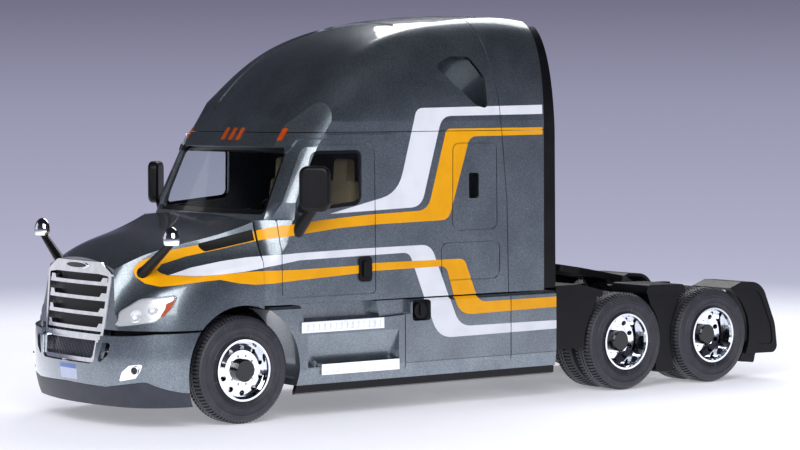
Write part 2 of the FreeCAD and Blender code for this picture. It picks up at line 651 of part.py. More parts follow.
# side fairing
upper_pocket = [(-15.6, 20.9), (-37.3, 20.9), (-36.2, 25.6), (-14.8, 25.6)]
shallow_pocket = [(-36.0, 21.4), (-44.9, 21.9), (-44.9, 25.6), (-36.0, 25.6)]
filler_outline = [(-45.5, 20.2), (-50.7, 20.2), (-50.7, 25.0), (-45.5, 25.0)]
pocket_depth = 4.2
shallow_depth = 1.5
filler_depth = 2.2
wedge_top = 18.6             # panel between the two treads leans inwards from here
wedge_bottom = 11.3
wedge_depth = 2.2
wedge_front = -16.6
wedge_rear = -41.6


def wedge(extra):
    """Space above the lower tread, with the given wall thickness added round it."""
    outline = [(fairing_half, wedge_top + extra), (fairing_half - wedge_depth - extra, wedge_bottom - extra),
               (fairing_half + 10.0, wedge_bottom - extra), (fairing_half + 10.0, wedge_top + extra)]
    return prism(outline, in_yz, wedge_rear - extra, wedge_front + extra)


def fairing():
    profile = [(fairing_half - 0.5, fairing_bottom), (fairing_half, fairing_bottom + 3.4), (fairing_half, fairing_top - 0.6),
               (fairing_half - 0.6, fairing_top), (20.0, fairing_top), (20.0, fairing_bottom)]
    body = prism(profile, in_yz, fairing_rear, fairing_front + 7.4)
    inner = fairing_half - fairing_wall
    inside = prism([(inner - 0.5, fairing_bottom - 1), (inner, fairing_bottom + 3.4), (inner, fairing_top - fairing_wall),
                    (19.0, fairing_top - fairing_wall), (19.0, fairing_bottom - 1)],
                   in_yz, fairing_rear + fairing_wall, fairing_front + 9)
    inside = inside.cut(cylinder_y(0, tyre_radius, arch_radius + 1.2, 0, 40)).cut(wedge(0.9))
    pockets = [wedge(0.0)]
    for outline, depth, radius in ((upper_pocket, pocket_depth, 0.5), (shallow_pocket, shallow_depth, 0.3),
                                   (filler_outline, filler_depth, 0.8)):
        pockets.append(prism(outline, in_xz, fairing_half - depth, 40, radius))
        inside = inside.cut(prism(grown(outline, 0.9), in_xz, fairing_half - depth - 0.9, 40, radius + 0.9))
    ribs = [box(x - 0.6, x + 0.6, rail_half, fairing_half - 0.5, rail_bottom + 1.5, rail_top - 1.0) for x in (-24.0, -56.0, -84.0)]
    shell = joined([body.cut(inside)] + ribs)
    for pocket in pockets:
        shell = shell.cut(pocket)
    for x in (-43.4, -74.2):
        shell = shell.cut(box(x - 0.15, x + 0.15, fairing_half - 0.25, 40, 0, 40))
    shell = shell.cut(prism([(fairing_half - 0.3, 10.75), (40, 10.6), (40, 10.95), (fairing_half - 0.3, 10.9)], in_yz, fairing_rear - 1, -43.4))
    return shell.cut(cylinder_y(0, tyre_radius, arch_radius + 0.2, 0, 40))


def fairing_sill():
    profile = [(fairing_half - 1.6, sill_bottom), (fairing_half - 0.65, sill_bottom + 0.4), (fairing_half - 0.5, fairing_bottom - 0.05),
               (fairing_half - 1.7, fairing_bottom - 0.05)]
    sill = prism(profile, in_yz, fairing_rear + 0.4, fairing_front + 0.5)
    return sill.cut(cylinder_y(0, tyre_radius, arch_radius + 0.3, 0, 40))


def step_tread(front, rear, top, reach, tuck):
    """Chromed tread: a plate let into the fairing and a lip that hangs over its face."""
    lip_in, lip_out = fairing_half + 0.03, fairing_half + 0.55
    plate = box(rear + tuck, front - tuck, reach, lip_out, top - 0.6, top)
    lip = box(rear, front, lip_in, lip_out, top - tread_height, top)
    tread = lip.fuse(plate)
    count = 14
    pitch = (front - rear - 1.2) / count
    for i in range(count):
        x = rear + 0.6 + i * pitch
        tread = tread.cut(box(x + 0.3, x + pitch - 0.3, lip_out - 0.2, 40, top - tread_height + 0.5, top - 0.5))
    return tread.removeSplitter()


tread_height = 2.4


def step_treads():
    upper = step_tread(-14.6, -37.1, upper_pocket[0][1] + 0.65, fairing_half - pocket_depth + 0.05, 1.6)
    lower = step_tread(-19.9, -41.3, wedge_bottom + 0.65, fairing_half - wedge_depth + 0.3, 0.5)
    return [upper, lower]


def filler_recess():
    floor = fairing_half - filler_depth
    pad = prism(grown(filler_outline, -0.05), in_xz, floor + 0.05, floor + 0.7, 0.7)
    cap = cylinder_y(-48.1, 22.4, 1.8, floor + 0.7, fairing_half - 0.4)
    ear = box(-48.4, -47.8, fairing_half - 0.4, fairing_half - 0.1, 21.4, 24.0)
    return joined([pad, cap, ear])


def cab_extender():
    panel = prism([(cab_rear - 0.05, cab_bottom + 0.4), (cab_rear - 3.6, cab_bottom + 0.4), (cab_rear - 3.4, roof_seam),
                   (cab_rear - 2.2, roof_top - 1.8), (cab_rear - 0.05, roof_top - 1.8)], in_xz, 15, 40)
    return panel


def cab_extenders():
    panel = cab_extender()
    face = Part.Face(cab_section(cab_stations[-1], 0.05, cab_bottom))
    inner = Part.Face(cab_section(cab_stations[-1], 0.9, cab_bottom - 2))
    outer_bar = face.extrude(V(-6, 0, 0))
    inner_bar = inner.extrude(V(-6, 0, 0))
    ring = outer_bar.cut(inner_bar)
    side = ring.common(panel).common(box(-200, 0, edge_line_half + 3, 60, 0, 120))
    return both(side)


# chassis
def frame_rails():
    """Two channel rails, each with the horn that carries the bumper."""
    profile = [(rail_half, rail_bottom), (rail_half, rail_top), (rail_half - rail_flange, rail_top),
               (rail_half - rail_flange, rail_top - rail_web), (rail_half - rail_web, rail_top - rail_web),
               (rail_half - rail_web, rail_bottom + rail_web), (rail_half - rail_flange, rail_bottom + rail_web),
               (rail_half - rail_flange, rail_bottom)]
    rail = prism(profile, in_yz, rail_rear, rail_front)
    y0, y1 = rail_half - 1.6, rail_half
    post = box(rail_front - 2.0, rail_front, y0, y1, horn_bottom, rail_bottom + rail_web)
    horn = box(rail_front - 2.0, front_overhang - bumper_wall - 0.9, y0, y1, horn_bottom, horn_bottom + 2.0)
    return both(joined([rail, post, horn]))


def crossmembers():
    """Plates between the rails, two of them with bosses for the display plinth's screws."""
    reach = rail_half - rail_web
    plates = []
    for x in cross_places:
        plate = box(x - 0.8, x + 0.8, -reach, reach, rail_bottom + 1.0, rail_top - 1.0)
        if x in screw_places:
            bosses = [Part.makeCylinder(boss_radius, rail_top - rail_bottom - 1.0, V(x, y, rail_bottom)) for y in screw_sides]
            plate = joined([plate] + bosses)
            for y in screw_sides:
                plate = plate.cut(Part.makeCylinder(screw_hole_radius, screw_hole_depth, V(x, y, rail_bottom)))
        plates.append(plate)
    return plates


cross_places = [rail_front - 1.5, -34.0, -52.0, -70.0, -88.0, -104.0, -124.3, -144.0, rail_rear + 0.8]
boss_radius = 2.0
screw_places = [-34.0, -88.0]
screw_sides = [5.2, -5.2]
horn_bottom = 10.8


def driveline():
    block = box(cab_front + 1.2, 15.0, -6.0, 6.0, 15.0, 33.0)
    sump = box(-3.0, 9.0, -4.0, 4.0, 13.4, 15.0)
    gearbox = Part.makeCylinder(4.0, gearbox_end + cab_front + 1.2, V(-gearbox_end, 0, 18.2), V(1, 0, 0))
    return joined([block, sump, gearbox])


gearbox_end = 28.0
shaft_z = 15.2


def front_axle():
    z = tyre_radius
    beam = box(-1.5, 1.5, -17.0, 17.0, z - 2.6, z - 0.9)
    ends = [box(-1.7, 1.7, y - 2.2, y + 2.2, z - 2.6, z + 2.2) for y in (17.6, -17.6)]
    springs = []
    for y in (9.2, -9.2):
        leaf = prism([(17.0, rail_bottom - 0.6), (17.0, rail_bottom), (15.5, rail_bottom), (0.0, z + 0.5), (-14.0, rail_bottom),
                      (-15.5, rail_bottom), (-15.5, rail_bottom - 0.6), (0.0, z - 0.95)], in_xz, y - 0.9, y + 0.9)
        springs.append(leaf)
    return joined([beam] + ends + springs).cut(cylinder_y(0, z, axle_pin_radius + pin_seat, -40, 40))


def rear_axle(x):
    z = tyre_radius
    tube = cylinder_y(x, z, 1.9, -13.0, 13.0)
    bowl = Part.makeSphere(4.4, V(x, 0, z))
    arms = [box(x - 0.9, x + 0.9, y - 0.9, y + 0.9, z, rail_bottom) for y in (9.1, -9.1)]
    return joined([tube, bowl] + arms)


def rear_axle_set():
    z = tyre_radius
    first, second = [rear_axle(x) for x in rear_axles]
    link = Part.makeCylinder(0.9, tandem_spacing, V(rear_axles[1], 0, z + 2.0), V(1, 0, 0))
    forward = Part.makeCylinder(0.9, tandem_front - gearbox_end, V(rear_axles[0], 0, shaft_z), V(1, 0, 0))
    axles = joined([first, second, link, forward])
    for x in rear_axles:
        axles = axles.cut(cylinder_y(x, z, axle_pin_radius + pin_seat, -40, 40))
    return axles


def axle_pins():
    z = tyre_radius
    pins = [cylinder_y(0, z, axle_pin_radius, -front_track_half + 2.2, front_track_half - 2.2)]
    for x in rear_axles:
        pins.append(cylinder_y(x, z, axle_pin_radius, -rear_track_half + 4.0, rear_track_half - 4.0))
    return pins


# wheels
def tyre(outer_y, width):
    """Plain tyre turned about the Y axis, its outer face at outer_y."""
    mid = outer_y - width / 2
    half = width / 2
    r = tyre_radius
    side = [(rim_radius - 0.3, half - 0.9), (rim_radius + 1.5, half - 0.05), (r - 1.9, half), (r - 0.5, half - 0.5), (r, half - 1.3)]
    profile = [(radius, mid - y) for radius, y in side] + [(radius, mid + y) for radius, y in reversed(side)]
    wire = Part.makePolygon([V(radius, y, 0) for radius, y in profile + profile[:1]])
    return Part.Face(wire).revolve(V(0, 0, 0), V(0, 1, 0), 360)


def rim(outer_y, width, dish, holes, lugs):
    """Wheel disc with a drop rim. dish is how deep the disc lies inside the outer lip."""
    r = rim_radius - 0.05
    back = outer_y - width
    disc = outer_y - dish
    ring = 3.9
    profile = [(r + 0.05 - 0.35, outer_y - 0.9), (r - 0.3, outer_y - 0.25), (r - 0.05, outer_y + 0.05), (r - rim_lip, outer_y + 0.05),
               (r - 0.75, outer_y - 0.6), (r - 1.0, disc + 0.4), (ring + 0.5, disc + rim_bulge(dish)), (ring - 0.2, disc + rim_bulge(dish)),
               (axle_pin_radius + pin_clearance, disc + rim_bulge(dish)), (axle_pin_radius + pin_clearance, disc - 1.0),
               (ring, disc - 1.0), (r - 1.3, disc - 0.6), (r - 1.3, back + 0.9), (r - 0.35, back + 0.9)]
    wire = Part.makePolygon([V(radius, y, 0) for radius, y in profile + profile[:1]])
    solid = Part.Face(wire).revolve(V(0, 0, 0), V(0, 1, 0), 360)
    for i in range(holes):
        angle = 2 * math.pi * (i + 0.5) / holes
        place = V(5.0 * math.cos(angle), disc - 3, 5.0 * math.sin(angle))
        solid = solid.cut(Part.makeCylinder(0.62, 6, place, V(0, 1, 0)))
    for i in range(lugs):
        angle = 2 * math.pi * i / lugs
        place = V(3.2 * math.cos(angle), disc - 0.3, 3.2 * math.sin(angle))
        solid = solid.cut(Part.makeCylinder(0.28, 6, place, V(0, 1, 0)))
    return solid


def rim_bulge(dish):
    return 0.7 if dish < 3 else 0.0


def hub(outer_y, dish, proud):
    face = outer_y - dish + rim_bulge(dish)
    body = cylinder_y(0, 0, hub_radius, face, face + proud)
    body = body.makeChamfer(0.3, [e for e in body.Edges if abs(e.BoundBox.YMin - face - proud) < 1e-3 and e.BoundBox.XLength > 1])
    bore = cylinder_y(0, 0, axle_pin_radius + pin_clearance, face - 1, face + proud - 0.5)
    return body.cut(bore)


def place_wheel(shape, x):
    shape.translate(V(x, 0, tyre_radius))
    return shape


# tandem fenders
fender_clear = 12.7
fender_in = 14.6
fender_out = 28.2
fender_skin = 0.8
lip_step = 0.6               # how far a fender's top plate stands out over its side
quarter_side = [(-88.1, 11.0, 0.3), (-88.1, 25.4, 0.3), (-101.6, 24.0, 0.5), (-99.6, 19.0, 0.5), (-97.3, 11.0, 0.3)]
quarter_top = [(-88.1, 24.6, 0.2), (-88.1, 26.3, 0.4), (-95.5, 26.4, 4.0), (-102.9, 24.5, 0.5), (-102.5, 23.0, 0.3)]
middle_side = [(-118.2, 23.6, 0.5), (-129.2, 23.4, 0.5), (-126.0, 14.5, 3.0), (-127.0, 3.5, 0.5), (-121.2, 3.5, 0.5), (-121.8, 14.5, 3.0)]
middle_top = [(-117.1, 22.9, 0.5), (-117.6, 25.2, 1.2), (-129.6, 24.9, 1.2), (-130.0, 22.6, 0.5)]
tail_side = [(-144.3, 23.1, 0.3), (-148.6, 24.6, 2.0), (-155.6, 24.3, 6.0), (-160.3, 13.5, 9.0), (-161.25, 6.2, 1.8), (-150.2, 6.4, 0.5)]
tail_panel = [(-149.5, 22.4, 1.5), (-154.6, 22.3, 2.6), (-158.9, 13.5, 8.0), (-159.6, 8.4, 1.0), (-154.2, 8.6, 0.5)]
tail_foot = [(-148.4, 7.2, 0.2), (-154.8, 6.9, 0.2), (-154.0, 3.9, 0.5), (-149.0, 4.4, 0.5)]


def wheel_clearance():
    return Part.makeCompound([cylinder_y(x, tyre_radius, fender_clear, 0, 40) for x in rear_axles])


def hollow_fender(outline, out):
    solid = prism(outline, in_xz, fender_in, out)
    return solid.cut(prism(grown(outline, -fender_skin), in_xz, fender_in - 1, out - fender_skin))


def tandem_fenders():
    """Quarter fender, the piece between the wheels and the tail fender, all of one side."""
    quarter = hollow_fender(quarter_side, fender_out - lip_step).fuse(hollow_fender(quarter_top, fender_out))
    middle = hollow_fender(middle_side, fender_out - 1.6).fuse(hollow_fender(middle_top, fender_out - 0.4))
    tail = hollow_fender(tail_side, fender_out).fuse(prism(tail_foot, in_xz, fender_in + 0.6, fender_out - 1.2))
    tail = tail.cut(prism(tail_panel, in_xz, fender_out - 0.2, 40))
    return [piece.cut(wheel_clearance()).removeSplitter() for piece in (quarter, middle, tail)]


# fifth wheel
def fifth_wheel_base():
    foot = box(plate_pivot_x - 9.0, plate_pivot_x + 9.0, -rail_half + 0.2, rail_half - 0.2, rail_top, rail_top + 0.8)
    foot = foot.cut(box(plate_pivot_x - 6.5, plate_pivot_x + 6.5, -6.4, 6.4, rail_top - 1, rail_top + 2))
    ears = []
    for y in (7.6, -7.6):
        web = prism([(plate_pivot_x - 4.0, rail_top + 0.6), (plate_pivot_x - 0.9, plate_pivot_z + 0.7),
                     (plate_pivot_x + 0.9, plate_pivot_z + 0.7), (plate_pivot_x + 4.0, rail_top + 0.6)], in_xz, y - 0.6, y + 0.6)
        ears += [web, cylinder_y(plate_pivot_x, plate_pivot_z, 1.15, y - 0.6, y + 0.6)]
    base = joined([foot] + ears)
    return base.cut(cylinder_y(plate_pivot_x, plate_pivot_z, pivot_pin_radius + pin_clearance, -20, 20))


def fifth_wheel_plate():
    """Plate drawn level over its pivot, then tilted rear end down."""
    top = plate_rise
    outline = [(plate_front, -8.0, 2.0), (plate_front, 8.0, 2.0), (9.0, plate_half, 2.5), (-5.0, plate_half, 2.0), (-plate_back, 5.6, 1.2),
               (-plate_back, 2.4, 0.6), (-5.6, 1.5, 0.4), (-1.0, 0.75, 0.2), (-1.0, -0.75, 0.2), (-5.6, -1.5, 0.4),
               (-plate_back, -2.4, 0.6), (-plate_back, -5.6, 1.2), (-5.0, -plate_half, 2.0), (9.0, -plate_half, 2.5)]
    plate = prism(outline, in_xy, top - plate_thickness + 0.0, top)
    ramp = prism([(-7.0, top + 1), (-plate_back - 1, top + 1), (-plate_back - 1, top - 1.2), (-7.0, top)], in_xz, -20, 20)
    plate = plate.cut(ramp)
    skirt = joined([prism([(-6.0, top - 0.2), (-1.4, -1.2), (1.4, -1.2), (6.0, top - 0.2)], in_xz, y - 0.5, y + 0.5)
                    for y in (5.6, -5.6)])
    pins = [cylinder_y(0, 0, pivot_pin_radius, 5.8, 8.9), cylinder_y(0, 0, pivot_pin_radius, -8.9, -5.8)]
    plate = joined([plate, skirt] + pins)
    plate = plate.cut(Part.makeCylinder(kingpin_bore, 6, V(kingpin_x, 0, top - 3)))
    plate.rotate(V(0, 0, 0), V(0, 1, 0), -plate_tilt)
    plate.translate(V(plate_pivot_x, 0, plate_pivot_z))
    return plate


kingpin_x = 0.6


def tail_lamps():
    lamp = prism([(4.4, 18.0), (8.6, 18.0), (8.6, 20.8), (4.4, 20.8)], in_yz, rail_rear - 0.8, rail_rear, 0.6)
    return both(lamp)


def save(name, shape):
    if isinstance(shape, (list, tuple)):
        shape = Part.makeCompound(shape)
    solids = shape.Solids
    result = Part.makeCompound(solids) if len(solids) > 1 else solids[0]
    result.translate(V(shift_x, 0, 0))
    result.exportStep(os.path.join("parts", name + ".step"))
    b = result.BoundBox
    print(f"{name:24s} solids {len(solids):2d} valid {result.isValid()} x {b.XMin:7.1f} {b.XMax:7.1f}"
          f" y {b.YMin:6.1f} {b.YMax:6.1f} z {b.ZMin:5.1f} {b.ZMax:5.1f} vol {result.Volume:8.1f}")


def main():
    os.makedirs("parts", exist_ok=True)
    low, high = cab_panels()
    save("cab_shell", low)
    save("roof_cap", high)
    screen, doors, sleeper = cab_glass()
    save("windscreen", screen)
    save("door_glass", doors)
    save("sleeper_windows", sleeper)
    lenses, hood = headlamps(hood_panel())
    vents, hood = hood_vents(hood)
    save("hood", hood)
    save("hood_vents", vents)
    save("headlamps", lenses)
    save("grille_frame", grille())
    save("grille_mesh", grille_mesh())
    upper, lower = bumper_pieces()
    save("front_bumper", upper)
    save("bumper_valance", lower)
    save("fog_lamps", fog_lamps())
    save("marker_lamps", marker_lamps())
    save("interior_tub", interior_tub())
    save("seats", [seat(12.0), seat(-12.0)])
    save("steering_wheel", steering_wheel())
    mirror = door_mirror()
    save("door_mirror_left", mirror)
    save("door_mirror_right", mirrored(mirror))
    head, arm = hood_mirror()
    save("hood_mirror_heads", both(head))
    save("hood_mirror_arms", both(arm))
    save("door_handles", both(door_handle()))
    side = fairing()
    save("side_fairing_left", side)
    save("side_fairing_right", mirrored(side))
    save("fairing_sills", both(fairing_sill()))
    save("step_treads", [s for tread in step_treads() for s in both(tread)])
    save("filler_recesses", both(filler_recess()))
    save("cab_extenders", cab_extenders())
    save("frame_rails", frame_rails())
    save("crossmembers", crossmembers())
    save("driveline", driveline())
    save("front_axle", front_axle())
    save("rear_axles", rear_axle_set())
    save("axle_pins", axle_pins())
    fenders = tandem_fenders()
    save("tandem_fenders_left", fenders)
    save("tandem_fenders_right", [mirrored(f) for f in fenders])
    save("fifth_wheel_base", fifth_wheel_base())
    save("fifth_wheel_plate", fifth_wheel_plate())
    save("tail_lamps", tail_lamps())
    wheels = [("front", 0.0, front_track_half, 1.6, 1.5, False)]
    wheels += [(f"rear{i + 1}", x, rear_track_half, 4.6, 2.6, True) for i, x in enumerate(rear_axles)]
    for name, x, outer, dish, proud, twin in wheels:
        tyres = [tyre(outer, tyre_width)]
        if twin:
            tyres.append(tyre(outer - tyre_width - twin_gap, tyre_width))
        wheel_rim = rim(outer, tyre_width, dish, 10, 10)
        if twin:
            inner = outer - tyre_width - twin_gap
            drum = rim(inner, tyre_width, 3.0, 0, 0)
            sleeve = cylinder_y(0, 0, 3.4, inner - 3.2, outer - dish - 0.9).cut(
                cylinder_y(0, 0, axle_pin_radius + pin_clearance, 0, 60))
            wheel_rim = joined([wheel_rim, drum, sleeve])
        wheel_hub = hub(outer, dish, proud)
        for side_name, flip in (("left", False), ("right", True)):
            for kind, shapes in (("tyre", tyres), ("rim", [wheel_rim]), ("hub", [wheel_hub])):
                placed = []
                for shape in shapes:
                    copy = mirrored(shape) if flip else shape.copy()
                    placed.append(place_wheel(copy, x))
                save(f"{name}_{kind}_{side_name}", placed)


main()
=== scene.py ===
import bpy
import bmesh
import json
import math
from mathutils import Vector, Matrix

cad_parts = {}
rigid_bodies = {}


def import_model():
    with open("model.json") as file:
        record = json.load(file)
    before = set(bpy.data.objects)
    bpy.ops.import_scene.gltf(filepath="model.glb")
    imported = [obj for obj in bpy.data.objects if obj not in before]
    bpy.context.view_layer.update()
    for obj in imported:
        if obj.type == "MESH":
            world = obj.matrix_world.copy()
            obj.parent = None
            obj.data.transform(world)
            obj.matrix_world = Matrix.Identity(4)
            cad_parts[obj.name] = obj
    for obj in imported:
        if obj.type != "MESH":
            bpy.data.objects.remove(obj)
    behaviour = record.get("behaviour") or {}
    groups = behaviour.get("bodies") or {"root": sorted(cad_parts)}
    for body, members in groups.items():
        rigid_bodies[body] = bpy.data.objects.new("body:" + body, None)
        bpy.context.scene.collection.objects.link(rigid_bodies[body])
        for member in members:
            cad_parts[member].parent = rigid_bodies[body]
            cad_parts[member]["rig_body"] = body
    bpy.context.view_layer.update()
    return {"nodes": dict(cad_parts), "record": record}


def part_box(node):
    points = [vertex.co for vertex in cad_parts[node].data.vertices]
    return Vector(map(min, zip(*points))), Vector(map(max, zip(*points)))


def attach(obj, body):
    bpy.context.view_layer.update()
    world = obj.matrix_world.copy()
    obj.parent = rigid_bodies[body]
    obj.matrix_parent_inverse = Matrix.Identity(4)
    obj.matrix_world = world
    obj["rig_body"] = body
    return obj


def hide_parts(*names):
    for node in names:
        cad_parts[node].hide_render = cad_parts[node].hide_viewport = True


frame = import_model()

mm = 0.001
axleX = 66.0  # front axle in mm, from the origin under the middle of the model
weldGap = 0.0000004  # loose CAD triangles closer than this are one vertex
bothSides = (-40, 40)  # mm, an outline pulled this far to both sides passes through the whole model
printCrease, pieceCrease = math.radians(28), math.radians(35)  # edges sharper than this stay sharp


def toLinear(hexColour, alpha=1.0):
    parts = [int(hexColour[i:i + 2], 16) / 255 for i in (1, 3, 5)]
    linear = [c / 12.92 if c <= 0.04045 else ((c + 0.055) / 1.055) ** 2.4 for c in parts]
    return (*linear, alpha)


def addNode(tree, kind, settings=None, inputs=None, links=None, stops=None):
    # one node with its settings, socket values, links and, for a ramp, its colour stops
    node = tree.nodes.new(kind)
    for key, value in (settings or {}).items():
        setattr(node, key, value)
    for key, value in (inputs or {}).items():
        node.inputs[key].default_value = value
    for key, source in (links or {}).items():
        tree.links.new(source, node.inputs[key])
    for i, (position, colour) in enumerate(stops or []):
        while len(node.color_ramp.elements) <= i:
            node.color_ramp.elements.new(1.0)
        node.color_ramp.elements[i].position = position
        node.color_ramp.elements[i].color = colour
    return node


def startMaterial(name):
    material = bpy.data.materials.new(name)
    material.use_nodes = True
    tree = material.node_tree
    shader = tree.nodes["Principled BSDF"]
    coords = addNode(tree, "ShaderNodeTexCoord")
    return material, tree, shader, coords.outputs["Object"]


print("frame loaded")

# dull and bright: how far the painted flake glints darken and brighten the base colour
paintLook = {"base": "#727b83", "dark": "#656e76", "cloudMm": 9, "metallic": 0.85, "roughness": 0.33,
             "coatRoughness": 0.05, "flakeMm": 0.16, "dull": 0.68, "bright": 1.5, "tilt": 0.16,
             "tiltMm": 0.05}


def metallicLacquer():
    # sprayed metallic lacquer on a casting: aluminium flakes under a clear coat, with a painted glint where
    # each flake is a fixed darker or brighter speck in the base colour
    material, tree, shader, where = startMaterial("metallicLacquer")
    flakes = addNode(tree, "ShaderNodeTexVoronoi", None, {"Scale": 1 / (paintLook["flakeMm"] * mm)},
                     {"Vector": where})
    cloud = addNode(tree, "ShaderNodeTexNoise", None,
                    {"Scale": 1 / (paintLook["cloudMm"] * mm), "Detail": 2.0}, {"Vector": where})
    tone = addNode(tree, "ShaderNodeValToRGB", None, None, {"Fac": cloud.outputs["Fac"]},
                   [(0.35, toLinear(paintLook["dark"])), (0.65, toLinear(paintLook["base"]))])
    # painted glint: each flake cell is made darker or brighter in the base colour, whatever the light
    dull, bright = paintLook["dull"], paintLook["bright"]
    paintedGlint = addNode(tree, "ShaderNodeValToRGB", None, None, {"Fac": flakes.outputs["Color"]},
                    [(0.0, (dull, dull, dull, 1)), (0.5, (1, 1, 1, 1)), (1.0, (bright, bright, bright, 1))])
    colour = addNode(tree, "ShaderNodeMix", {"data_type": "RGBA", "blend_type": "MULTIPLY"}, {"Factor": 1.0},
                     {"A": tone.outputs["Color"], "B": paintedGlint.outputs["Color"]})
    tree.links.new(colour.outputs["Result"], shader.inputs["Base Color"])
    tilt = addNode(tree, "ShaderNodeBump", None,
                   {"Strength": paintLook["tilt"], "Distance": paintLook["tiltMm"] * mm},
                   {"Height": flakes.outputs["Distance"]})
    tree.links.new(tilt.outputs["Normal"], shader.inputs["Normal"])
    shader.inputs["Metallic"].default_value = paintLook["metallic"]
    shader.inputs["Roughness"].default_value = paintLook["roughness"]
    shader.inputs["Coat Weight"].default_value = 1.0
    shader.inputs["Coat Roughness"].default_value = paintLook["coatRoughness"]
    return material


inkLook = {"cloudMm": 6, "peelMm": 0.5, "peel": 0.05, "peelDeepMm": 0.02, "roughness": 0.35, "specular": 0.3,
           "coat": 0.2, "coatRoughness": 0.06}


def printedInk(name, hexColour, shadeHex):
    # pad-printed ink under lacquer: an even, slightly glossy film with a faint unevenness
    material, tree, shader, where = startMaterial(name)
    cloud = addNode(tree, "ShaderNodeTexNoise", None, {"Scale": 1 / (inkLook["cloudMm"] * mm)},
                    {"Vector": where})
    colour = addNode(tree, "ShaderNodeValToRGB", None, None, {"Fac": cloud.outputs["Fac"]},
                     [(0.3, toLinear(shadeHex)), (0.6, toLinear(hexColour))])
    tree.links.new(colour.outputs["Color"], shader.inputs["Base Color"])
    peel = addNode(tree, "ShaderNodeTexNoise", None, {"Scale": 1 / (inkLook["peelMm"] * mm)},
                   {"Vector": where})
    bump = addNode(tree, "ShaderNodeBump", None,
                   {"Strength": inkLook["peel"], "Distance": inkLook["peelDeepMm"] * mm},
                   {"Height": peel.outputs["Fac"]})
    tree.links.new(bump.outputs["Normal"], shader.inputs["Normal"])
    shader.inputs["Roughness"].default_value = inkLook["roughness"]
    shader.inputs["Specular IOR Level"].default_value = inkLook["specular"]
    shader.inputs["Coat Weight"].default_value = inkLook["coat"]
    shader.inputs["Coat Roughness"].default_value = inkLook["coatRoughness"]
    return material


plasticLook = {"cloudMm": 5, "grainDeepMm": 0.04, "unevenness": 0.08, "leastRoughness": 0.02,
               "specular": 0.22}


def mouldedPlastic(name, hexColour, paleHex, roughness, grainMm=0.25, grain=0.25, coat=0.0):
    # injection-moulded plastic: fine spark-eroded grain that breaks up the gloss
    material, tree, shader, where = startMaterial(name)
    cloud = addNode(tree, "ShaderNodeTexNoise", None,
                    {"Scale": 1 / (plasticLook["cloudMm"] * mm), "Detail": 3.0}, {"Vector": where})
    colour = addNode(tree, "ShaderNodeValToRGB", None, None, {"Fac": cloud.outputs["Fac"]},
                     [(0.35, toLinear(hexColour)), (0.7, toLinear(paleHex))])
    tree.links.new(colour.outputs["Color"], shader.inputs["Base Color"])
    grit = addNode(tree, "ShaderNodeTexNoise", None,
                   {"Scale": 1 / (grainMm * mm), "Detail": 3.0, "Roughness": 0.6}, {"Vector": where})
    bump = addNode(tree, "ShaderNodeBump", None,
                   {"Strength": grain, "Distance": plasticLook["grainDeepMm"] * mm},
                   {"Height": grit.outputs["Fac"]})
    tree.links.new(bump.outputs["Normal"], shader.inputs["Normal"])
    uneven = addNode(tree, "ShaderNodeMapRange", None,
                     {"To Min": max(roughness - plasticLook["unevenness"], plasticLook["leastRoughness"]),
                      "To Max": roughness + plasticLook["unevenness"]},
                     {"Value": cloud.outputs["Fac"]})
    tree.links.new(uneven.outputs["Result"], shader.inputs["Roughness"])
    shader.inputs["Coat Weight"].default_value = coat
    shader.inputs["Specular IOR Level"].default_value = plasticLook["specular"]
    return material


chromeLook = {"hazeMm": 2, "pale": "#e9ebef", "smoothest": 0.7, "roughest": 1.4}


def platedChrome(name, hexColour, roughness):
    # vacuum-plated plastic: a bright mirror with a very slight haze and waviness
    material, tree, shader, where = startMaterial(name)
    haze = addNode(tree, "ShaderNodeTexNoise", None,
                   {"Scale": 1 / (chromeLook["hazeMm"] * mm), "Detail": 2.0}, {"Vector": where})
    colour = addNode(tree, "ShaderNodeValToRGB", None, None, {"Fac": haze.outputs["Fac"]},
                     [(0.3, toLinear(hexColour)), (0.75, toLinear(chromeLook["pale"]))])
    tree.links.new(colour.outputs["Color"], shader.inputs["Base Color"])
    rough = addNode(tree, "ShaderNodeMapRange", None,
                    {"To Min": roughness * chromeLook["smoothest"],
                     "To Max": roughness * chromeLook["roughest"]},
                    {"Value": haze.outputs["Fac"]})
    tree.links.new(rough.outputs["Result"], shader.inputs["Roughness"])
    shader.inputs["Metallic"].default_value = 1.0
    return material


clearLook = {"hazeMm": 3, "smoothest": 0.5, "roughest": 1.5}


def clearMoulding(name, hexColour, roughness, ior, veil=0.0):
    # clear polystyrene: see-through, with a mirror sheen and a faint haze
    material, tree, shader, where = startMaterial(name)
    haze = addNode(tree, "ShaderNodeTexNoise", None, {"Scale": 1 / (clearLook["hazeMm"] * mm)},
                   {"Vector": where})
    rough = addNode(tree, "ShaderNodeMapRange", None,
                    {"To Min": roughness * clearLook["smoothest"],
                     "To Max": roughness * clearLook["roughest"]},
                    {"Value": haze.outputs["Fac"]})
    tree.links.new(rough.outputs["Result"], shader.inputs["Roughness"])
    shader.inputs["Base Color"].default_value = toLinear(hexColour)
    shader.inputs["IOR"].default_value = ior
    if veil:  # a thin lens lets the light straight through to its reflector
        shader.inputs["Alpha"].default_value = veil
    else:
        shader.inputs["Transmission Weight"].default_value = 1.0
    return material


vinylLook = {"base": "#27272d", "dusty": "#373740", "bloomMm": 2.5, "gritMm": 0.2, "grit": 0.2,
             "gritDeepMm": 0.03, "roughness": 0.55}


